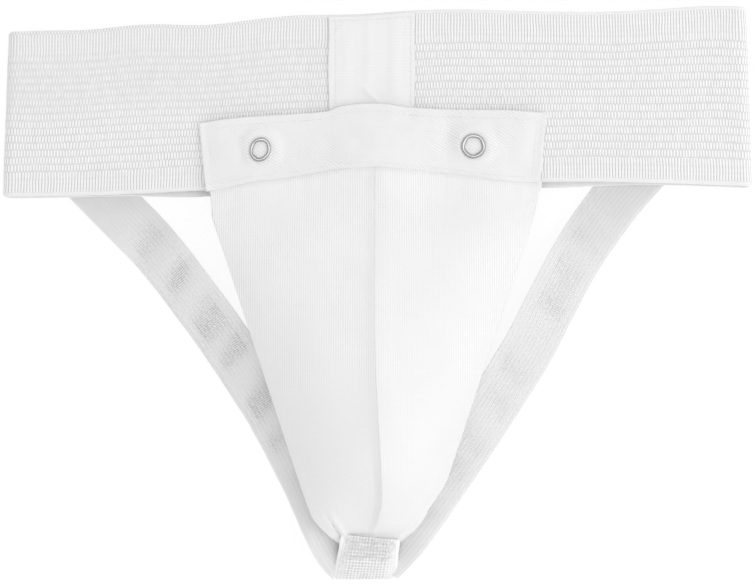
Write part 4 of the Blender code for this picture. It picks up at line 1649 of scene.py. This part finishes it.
@dataclass
class FlapHalf:
    """One half of the twill flap along the top of the pocket, with its hem and its top stitches."""

    side: Side
    snap_spot: tuple
    thickness: float = 1.3
    columns: int = 111
    rows: int = 49
    lap: float = 1.2
    edge_z: float = 14.4
    dents: tuple = (
        (30.5, 66.0, 3.6, 8.0, 2.6), (20.0, 69.0, 7.0, 9.0, -0.9), (-58.4, 60.5, 2.8, 4.5, 1.3),
    )
    hem_width: float = 1.9
    hem_height: float = 0.28
    stitch_steps: int = 3
    thread_radius: float = 0.15
    thread_rise: float = 0.1

    def points(self) -> tuple[Array, Array]:
        """The half's middle surface: it droops at its hemmed end and dips at its seam and its snap.

        Returns:
            A grid of points and how far each stands up in its hem.
        """
        u, v = np.meshgrid(np.linspace(0, 1, self.columns), np.linspace(0, 1, self.rows))
        bottom, top = FORM.flap_bottom_half_width, FORM.flap_top_half_width
        middle = FORM.centre_x(np.array(60.0))
        start = middle + (self.lap if self.side is Side.LEFT else 0.0)
        end = FORM.middle_x + self.side.value * (bottom + (top - bottom) * v)
        x = start + (end - start) * u
        low, high = FORM.sewn_y(x) + 0.15, FORM.flap_top(x)
        y = low + (high - low) * v
        end_distance = np.abs(end - x)
        z = FORM.flap_height(x) - FORM.corner_droop(x, y)
        end_drop = smooth_step(9.0, 0, end_distance) * smooth_step(52.0, 60.0, y)
        sink = 0.75 + 0.4 * FORM.seam_depth(x)
        z -= 0.8 * end_drop + sink * smooth_step(1.6, 0.0, y - low)
        z += (np.minimum(z, self.edge_z) - z) * v**1.3
        if self.side is Side.LEFT:
            z -= 0.06 * smooth_step(0.0, self.lap, x - middle)
        reach = np.hypot(x - self.snap_spot[0], y - self.snap_spot[1])
        flat = smooth_step(11.0, 6.5, reach)
        soft = 1.15 * soft_noise(x, y, 16, 21) + 0.5 * soft_noise(x, y, 7, 22)
        soft = soft * (0.6 + 0.4 * smooth_step(1.0, 8.0, high - y)) * (1 - flat)
        inside = smooth_step(0, 6.0, y - low) * smooth_step(0, 10.0, end_distance)
        z = (z + soft * inside) * (1 - flat) + flat * (FORM.flap_z + self.snap_press(reach))
        z -= self.dented(x, y) * smooth_step(5.4, 8.0, reach)
        hem = smooth_step(self.hem_width, self.hem_width - 0.9, end_distance) * self.hem_height
        hem = hem + 0.25 * smooth_step(1.4, 0.6, high - y)
        grid = stacked(x, y, z)
        return (grid, hem) if self.side is Side.RIGHT else (grid[:, ::-1], hem[:, ::-1])

    def snap_press(self, reach: Array) -> Array:
        """How the cloth is pressed at the snap: a dip under the ring and a low dome inside it."""
        return 0.25 * hump(reach, 3.4) - 0.12 * hump(reach - 5.3, 1.6)

    def dented(self, x: Array, y: Array) -> Array:
        """How deep the flap's dents are: the sum of bells.

        Args:
            x: Places across the flap.
            y: Places up it.

        Returns:
            Depths, below 0 where the cloth is raised.
        """
        return sum(
            depth * bell(x - at_x, wide) * bell(y - at_y, tall)
            for at_x, at_y, wide, tall, depth in self.dents
        )

    def thread(self, points: Array, hem: Array) -> Surface:
        """Top stitches: a row above the seam, one below the top edge and one along the hem.

        Args:
            points: The half's middle surface.
            hem: How far each point stands up in its hem.

        Returns:
            The stitches, each three steps of the grid long and one step from the next.
        """
        face = points.copy()
        face[..., 2] += self.thickness / 2 + hem / 2
        face = face if self.side is Side.RIGHT else face[:, ::-1]
        rows = [face[3, 2:-6], face[-6, 2:-6], face[4:-5, -6]]
        steps = self.stitch_steps
        starts = np.concatenate([row[: -steps : steps + 1] for row in rows])
        ends = np.concatenate([row[steps :: steps + 1] for row in rows])
        return stitches(starts, ends, self.thread_radius, self.thread_rise)

    def build(self, wardrobe: Wardrobe) -> None:
        """Makes the half of the flap and its stitches.

        Args:
            wardrobe: The finishes.
        """
        points, hem = self.points()
        points[..., 2] += hem / 2
        shell = cloth_shell(points, self.thickness, points[..., :2], hem + 0.5, 0.5)
        flap = shell.to_object(f"twill_flap_{self.side.word}", crisp=math.radians(35))
        wardrobe.dress(flap, TWILL)
        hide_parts("pocket_flap")
        lift_from_side(flap)
        thread = self.thread(points, hem).to_object(f"flap_stitches_{self.side.word}")
        wardrobe.dress(thread, THREAD)
        lift_from_side(thread)


@dataclass
class SnapFastener:
    """A prong snap: a ring and a socket on the flap, a stud and a ring on the band."""

    side: Side
    spot: tuple
    ovalness: float
    ring_outer: float = 5.4
    ring_inner: float = 3.6
    ring_height: float = 1.05
    ring_turns: int = 96
    ring_lean: float = math.radians(22)
    arc_points: int = 13
    base_points: int = 6
    scallop: float = 0.13
    prongs: int = 5
    cap_z: float = 17.75
    back_z: float = 10.0
    socket: tuple = (
        (5.3, 14.15), (5.3, 15.85), (5.15, 16.0), (2.5, 16.0), (2.35, 15.85), (2.35, 14.6), (2.7, 14.15),
        (3.0, 13.95), (5.1, 13.95),
    )
    stud: tuple = (
        (5.1, 12.3), (5.3, 12.5), (5.3, 13.4), (5.1, 13.6), (1.9, 13.6), (1.6, 13.8), (1.6, 14.4),
        (1.9, 14.75), (1.95, 15.0), (1.75, 15.25), (1.3, 15.4),
    )

    def ring_section(self, upward: float) -> Array:
        """A half-round section: half an ellipse on a flat base, going round it once.

        Args:
            upward: 1 for a ring whose round side is up and -1 for one whose round side is down.

        Returns:
            (radius, height) points.
        """
        turn = np.linspace(0, np.pi, self.arc_points)
        middle, half = (self.ring_outer + self.ring_inner) / 2, (self.ring_outer - self.ring_inner) / 2
        height = upward * self.ring_height * np.sin(turn) ** 0.8
        arc = np.stack([middle + half * np.cos(turn), height], axis=1)
        radius = np.linspace(self.ring_inner, self.ring_outer, self.base_points)[1:-1]
        base = np.stack([radius, np.full_like(radius, -0.05 * upward)], axis=1)
        section = np.concatenate([arc, base])
        return section if upward > 0 else section[::-1]

    def cap(self) -> Surface:
        """The ring on the flap: its section carried round, scalloped by the prongs and squeezed to an oval.

        Returns:
            The ring in its place.
        """
        ring = turned(self.ring_section(1.0), (0, 0, 0), self.ring_turns)
        x, y, z = ring.points.T
        reach, turn = np.hypot(x, y), np.arctan2(y, x)
        inside = (self.ring_outer - reach) / (self.ring_outer - self.ring_inner)
        scale = 1 + self.scallop * inside * np.cos(self.prongs * turn) / reach
        x, y = x * (self.ovalness * scale), y * scale
        cos, sin = math.cos(self.ring_lean), math.sin(self.ring_lean)
        turned_x, turned_y = x * cos + y * sin + self.spot[0], y * cos - x * sin + self.spot[1]
        ring.points = np.stack([turned_x, turned_y, z + self.cap_z], axis=1)
        return ring

    def build(self, wardrobe: Wardrobe) -> None:
        """Makes the four metal pieces.

        Args:
            wardrobe: The finishes.
        """
        foot = (*self.spot, 0.0)
        back_ring = turned(self.ring_section(-1.0), (*self.spot, self.back_z), self.ring_turns)
        pieces = (
            (self.cap(), "snap_ring", "snap_cap", Body.POCKET),
            (turned(self.socket, foot), "snap_socket_turned", "snap_socket", Body.POCKET),
            (turned(self.stud, foot, capped=True), "snap_stud_turned", "snap_stud", Body.BELT),
            (back_ring, "snap_inner_ring", "snap_back_ring", Body.BELT),
        )
        for surface, name, node, body in pieces:
            piece = surface.to_object(f"{name}_{self.side.word}")
            wardrobe.fit(piece, SNAP_METAL, body, f"{node}_{self.side.word}")


@dataclass
class HardCup:
    """The removable cup: a vented plastic dome standing in a soft edge."""

    bottom_y: float = -96.0
    top_y: float = 33.0
    centre_y: float = -38.0
    share_of_pouch: float = 0.76
    outline_power: float = 2.5
    wall: float = 2.4
    turns: int = 144
    rings: int = 56
    clearance: float = 5.2
    crown_power: float = 4.0
    rim_lift: float = 2.6
    skirt: float = 4.0
    skirt_share: float = 1 / 9
    vent_radius: float = 2.6
    vent_rows: tuple = (-70.0, -48.0, -26.0)
    vent_offset: float = 12.0
    vent_pull: tuple = (0.75, 1.45)
    pad_lift: float = 0.6
    pad_turns: int = 180
    pad_slot: float = 1.5
    pad_wall: float = 1.95
    pad_height: float = 5.0
    pad_floor: float = 2.0
    pad_chamfer: float = 0.5
    lip_points: int = 7

    def outline(self, angle: Array, reach: Array, outset: Array) -> tuple[Array, Array]:
        """A plan point of the cup: a superellipse drawn in with the pouch's taper.

        Args:
            angle: Direction from the centre.
            reach: Share of the way out to the rim.
            outset: Millimetres to move out past the rim.

        Returns:
            X and Y.
        """
        power = 2 / self.outline_power
        across = np.sign(np.cos(angle)) * np.abs(np.cos(angle)) ** power
        along = np.sign(np.sin(angle)) * np.abs(np.sin(angle)) ** power
        length = np.where(along > 0, self.top_y - self.centre_y, self.centre_y - self.bottom_y)
        y = self.centre_y + reach * along * (length + outset)
        x = reach * across * (self.share_of_pouch * FORM.half_width(y) + outset)
        return FORM.middle_x + x, y

    def base_z(self, y: Array) -> Array:
        """The plane that the soft edge stands on, just clear of the lining."""
        return FORM.level_z(y) + FORM.lining_thickness / 2 + self.pad_lift

    def vents(self) -> list[tuple[float, float]]:
        """The middles of the vents, in pairs beside the ridge."""
        sides = (FORM.middle_x - self.vent_offset, FORM.middle_x + self.vent_offset)
        return [(x, y) for y in self.vent_rows for x in sides]

    def shell(self) -> Surface:
        """The dome's middle surface: rings that rise as the root of 1 - r^p, with round vents left open.

        Returns:
            The surface, open at its rim and its vents.
        """
        angle = np.linspace(0, 2 * np.pi, self.turns, endpoint=False)
        v = np.linspace(0, 1, self.rings)[:, None]
        inward = np.clip((v - self.skirt_share) / (1 - self.skirt_share), 0.0, 1.0)
        reach = np.maximum(1 - inward**1.3, 0.02)
        x, y = self.outline(angle[None], reach, 0.0)
        shoulder = self.base_z(y) + self.rim_lift + self.skirt * np.minimum(1.0, v / self.skirt_share)
        crown = FORM.front_z(x, y) - self.clearance
        rise = np.sqrt(np.clip(1 - reach**self.crown_power, 0.0, 1.0))
        z = shoulder + np.maximum(0.0, crown - shoulder) * rise
        nearest, farthest = (self.vent_radius * share for share in self.vent_pull)
        for vent_x, vent_y in self.vents():
            distance = np.hypot(x - vent_x, y - vent_y)
            near = (distance > nearest) & (distance < farthest)
            scale = np.where(near, self.vent_radius / np.maximum(distance, TINY), 1.0)
            x, y = vent_x + (x - vent_x) * scale, vent_y + (y - vent_y) * scale
        points = stacked(x, y, z).reshape(-1, 3)
        crown_disc = disc_corners(self.turns) + (self.rings - 1) * self.turns
        corners = np.concatenate([grid_corners(self.rings, self.turns, False, True)[0], crown_disc])
        middle = points[corners].mean(axis=1)
        kept = np.ones(len(corners), bool)
        for vent_x, vent_y in self.vents():
            distance = np.hypot(middle[:, 0] - vent_x, middle[:, 1] - vent_y)
            kept &= distance > self.vent_radius * 0.99
        used, corners = np.unique(corners[kept], return_inverse=True)
        points, corners = points[used], corners.reshape(-1, 4)
        return Surface(points, corners, points[corners][..., :2], np.ones(len(points)))

    def pad(self) -> Surface:
        """The soft edge: a channel with rounded lips carried round the rim.

        Returns:
            The closed ring.
        """
        slot, wall, cut = self.pad_slot, self.pad_wall, self.pad_chamfer
        turn = np.linspace(0, np.pi, self.lip_points)
        lip = np.stack([np.cos(turn) * wall / 2, np.sin(turn) * wall / 2], axis=1)
        lip_z = self.pad_height - wall / 2
        outer = lip + [slot + wall / 2, lip_z]
        inner = lip + [-slot - wall / 2, lip_z]
        channel = [[slot, self.pad_floor], [-slot, self.pad_floor]]
        half = slot + wall
        base = [[-half, cut], [-half + cut, 0.0], [half - cut, 0.0]]
        section = np.concatenate([[[half, cut]], outer, channel, inner, base])
        angle = np.linspace(0, 2 * np.pi, self.pad_turns, endpoint=False)
        x, y = self.outline(angle[None], np.ones((1, 1)), section[:, :1])
        return wrapped(stacked(x, y, self.base_z(y) + section[:, 1:]))

    def build(self, wardrobe: Wardrobe) -> None:
        """Makes the dome, whose wall and rounded edges are modifiers, and its soft edge.

        Args:
            wardrobe: The finishes.
        """
        shell = self.shell().to_object("cup_dome")
        thick = shell.modifiers.new("wall", "SOLIDIFY")
        thick.thickness = self.wall * MM
        thick.offset = 0.0
        soften = shell.modifiers.new("soften", "BEVEL")
        soften.width = 0.5 * MM
        soften.segments = 2
        soften.angle_limit = math.radians(50)
        pad = self.pad().to_object("cup_soft_edge")
        wardrobe.fit(shell, CUP_PLASTIC, Body.CUP, "cup_shell")
        wardrobe.fit(pad, CUP_RUBBER, Body.CUP, "cup_edge_pad")


@dataclass
class Stage:
    """The pale floor, the soft light and the camera straight above."""

    view_width: float = 332.2
    view_z: float = 5.0
    lens: float = 110.0
    sensor: float = 36.0
    key_power: float = 2.5
    key_size: float = 0.87
    key_spot: Point = (0.90, -0.12, 1.02)
    sky: tuple = ((0.0, 1.2), (0.3, 0.88), (0.95, 0.715), (0.975, 2.65), (1.0, 2.65))
    sky_tilt: Point = (0.12, -0.03, 0.0)
    floor_size: float = 4000.0
    floor_z: float = -0.3
    floor_colour: Colour = (0.88, 0.88, 0.88)
    shown_floor_colour: Colour = (0.1, 0.1, 0.1)
    floor_glow: float = 0.915

    def build(self) -> None:
        """Makes the floor, world, lamp and camera."""
        scene = bpy.context.scene
        scene.view_settings.view_transform = "Standard"
        self.floor()
        self.world(scene)
        self.key_lamp(scene)
        self.camera(scene)

    def camera(self, scene: bpy.types.Scene) -> None:
        """Adds a camera that looks straight down and sees the view's width at the view's height.

        Args:
            scene: The scene.
        """
        data = bpy.data.cameras.new("camera")
        data.lens, data.sensor_width = self.lens, self.sensor
        camera = bpy.data.objects.new("camera", data)
        distance = self.view_width * self.lens / self.sensor
        camera.location = (0.0, 0.0, (self.view_z + distance) * MM)
        scene.collection.objects.link(camera)
        scene.camera = camera

    def floor(self) -> None:
        """A wide pale floor just under the garment: it glows for what sees it and keeps a faint shadow."""
        size, z = self.floor_size, self.floor_z
        points = np.array([(-size, -size, z), (size, -size, z), (size, size, z), (-size, size, z)])
        corners = np.array([[0, 1, 2, 3]])
        floor = Surface(points, corners, points[corners][..., :2], np.ones(4)).to_object("floor")
        material, sketch, shader = new_material("floor")
        shader.inputs["Roughness"].default_value = 0.9
        shader.inputs["Specular IOR Level"].default_value = 0.1
        rays = sketch.node("ShaderNodeLightPath")
        seen = sketch.math("MAXIMUM", rays.outputs["Is Camera Ray"], rays.outputs["Is Glossy Ray"])
        seen = sketch.math("MAXIMUM", seen, rays.outputs["Is Transmission Ray"])
        colour = sketch.mix_colour(seen, (*self.floor_colour, 1.0), (*self.shown_floor_colour, 1.0))
        sketch.put(colour, shader.inputs["Base Color"])
        shader.inputs["Emission Color"].default_value = (1.0, 1.0, 1.0, 1.0)
        sketch.put(sketch.math("MULTIPLY", seen, self.floor_glow), shader.inputs["Emission Strength"])
        floor.data.materials.append(material)

    def world(self, scene: bpy.types.Scene) -> None:
        """A studio sky: a bright ceiling, dimmer walls, a pale horizon and a little more from the right.

        Args:
            scene: The scene.
        """
        world = bpy.data.worlds.new("studio")
        scene.world = world
        world.use_nodes = True
        sketch = NodeSketch(world.node_tree)
        background = world.node_tree.nodes["Background"]
        towards = sketch.node("ShaderNodeTexCoord").outputs["Generated"]
        upward = sketch.node("ShaderNodeSeparateXYZ", Vector=towards).outputs["Z"]
        ramp = sketch.node("ShaderNodeValToRGB", Fac=upward)
        stops = ramp.color_ramp.elements
        for place, _ in self.sky[1:-1]:
            stops.new(place)
        for stop, (place, value) in zip(stops, self.sky):
            stop.position, stop.color = place, (value, value, value, 1.0)
        tilt = sketch.node("ShaderNodeVectorMath")
        tilt.operation = "DOT_PRODUCT"
        sketch.put(towards, tilt.inputs[0])
        tilt.inputs[1].default_value = self.sky_tilt
        light = sketch.math("ADD", ramp.outputs["Color"], tilt.outputs["Value"])
        sketch.put(light, background.inputs["Strength"])
        background.inputs["Color"].default_value = (1.0, 1.0, 1.0, 1.0)

    def key_lamp(self, scene: bpy.types.Scene) -> None:
        """Adds a square soft box that faces the garment.

        Args:
            scene: The scene.
        """
        data = bpy.data.lights.new("key", "AREA")
        data.size, data.energy = self.key_size, self.key_power
        lamp = bpy.data.objects.new("key", data)
        back = np.array(self.key_spot) / np.linalg.norm(self.key_spot)
        lamp.location = self.key_spot
        lamp.rotation_euler = (math.acos(back[2]), 0.0, math.atan2(back[1], back[0]) + math.pi / 2)
        scene.collection.objects.link(lamp)


STRAP_LEFT = (
    (-134.5, 56.5), (-118.3, 39.9), (-96.9, 18.0), (-79.9, -3.7), (-64.6, -25.1), (-47.0, -52.3),
    (-32.6, -79.3), (-22.4, -100.6), (-16.3, -112.6), (-11.8, -118.2),
)
STRAP_RIGHT = (
    (122.5, 60.0), (104.3, 39.3), (88.1, 16.3), (76.4, -5.1), (65.6, -25.9), (49.5, -51.6), (32.2, -77.4),
    (16.8, -98.6), (8.0, -110.0), (0.6, -118.0),
)
DENTS_LEFT = (
    (22.0, 0.1, 8.0, 1.0, 0.75), (6.8, 0.05, 6.0, 1.0, 0.8), (-12.3, 0.05, 8.5, 1.0, 1.0),
    (-26.8, 0.08, 6.0, 1.0, 1.0), (-47.3, 0.05, 8.0, 1.0, 1.0), (-62.8, -0.1, 6.5, 0.9, 0.65),
    (-80.0, -0.1, 7.0, 0.9, 0.45),
)
DENTS_RIGHT = (
    (40.0, 0.05, 5.5, 1.0, 0.7), (31.0, 0.0, 3.2, 1.2, -0.5), (22.0, 0.25, 5.0, 0.7, 0.5),
    (9.0, 0.0, 8.0, 0.9, 0.5), (-5.0, 0.05, 8.0, 0.7, 0.55), (-35.0, 0.1, 6.5, 0.9, 0.55),
    (-48.0, 0.0, 7.0, 0.7, 0.45), (-65.5, -0.1, 5.5, 0.7, 0.45), (-77.0, 0.0, 9.0, 0.6, 0.5),
    (-95.0, 0.0, 6.0, 0.5, 0.4),
)
PLEAT_LEFT = ((-15.6, -106.0), (-22.6, -94.5))
PLEAT_RIGHT = ((10.5, -107.5), (18.5, -97.0))
SNAP_LEFT = (-51.0, 61.9)
SNAP_RIGHT = (41.7, 63.4)


def main() -> None:
    """Builds every sub-assembly in order."""
    logging.basicConfig(level=logging.INFO, format="%(name)s %(message)s")
    wardrobe = Wardrobe()
    Stage().build()
    band = Waistband()
    band.build(wardrobe)
    FrontLabel().build(wardrobe, band)
    LegStrap(Side.LEFT, STRAP_LEFT, 22.9, 2.8, DENTS_LEFT, edge_lift=6.0).build(wardrobe)
    LegStrap(Side.RIGHT, STRAP_RIGHT, 23.0, 4.5, DENTS_RIGHT, weave_shown=0.7, toe_weave=0.2).build(wardrobe)
    BottomTab().build(wardrobe)
    PocketLining().build(wardrobe)
    PouchPanel(Side.LEFT, 2.3, PLEAT_LEFT, 1.7).build(wardrobe)
    FlapHalf(Side.LEFT, SNAP_LEFT).build(wardrobe)
    PouchPanel(Side.RIGHT, 1.1, PLEAT_RIGHT, 0.9).build(wardrobe)
    FlapHalf(Side.RIGHT, SNAP_RIGHT).build(wardrobe)
    SnapFastener(Side.LEFT, SNAP_LEFT, 0.85).build(wardrobe)
    SnapFastener(Side.RIGHT, SNAP_RIGHT, 1.0).build(wardrobe)
    HardCup().build(wardrobe)


if __name__ == "__main__":
    main()
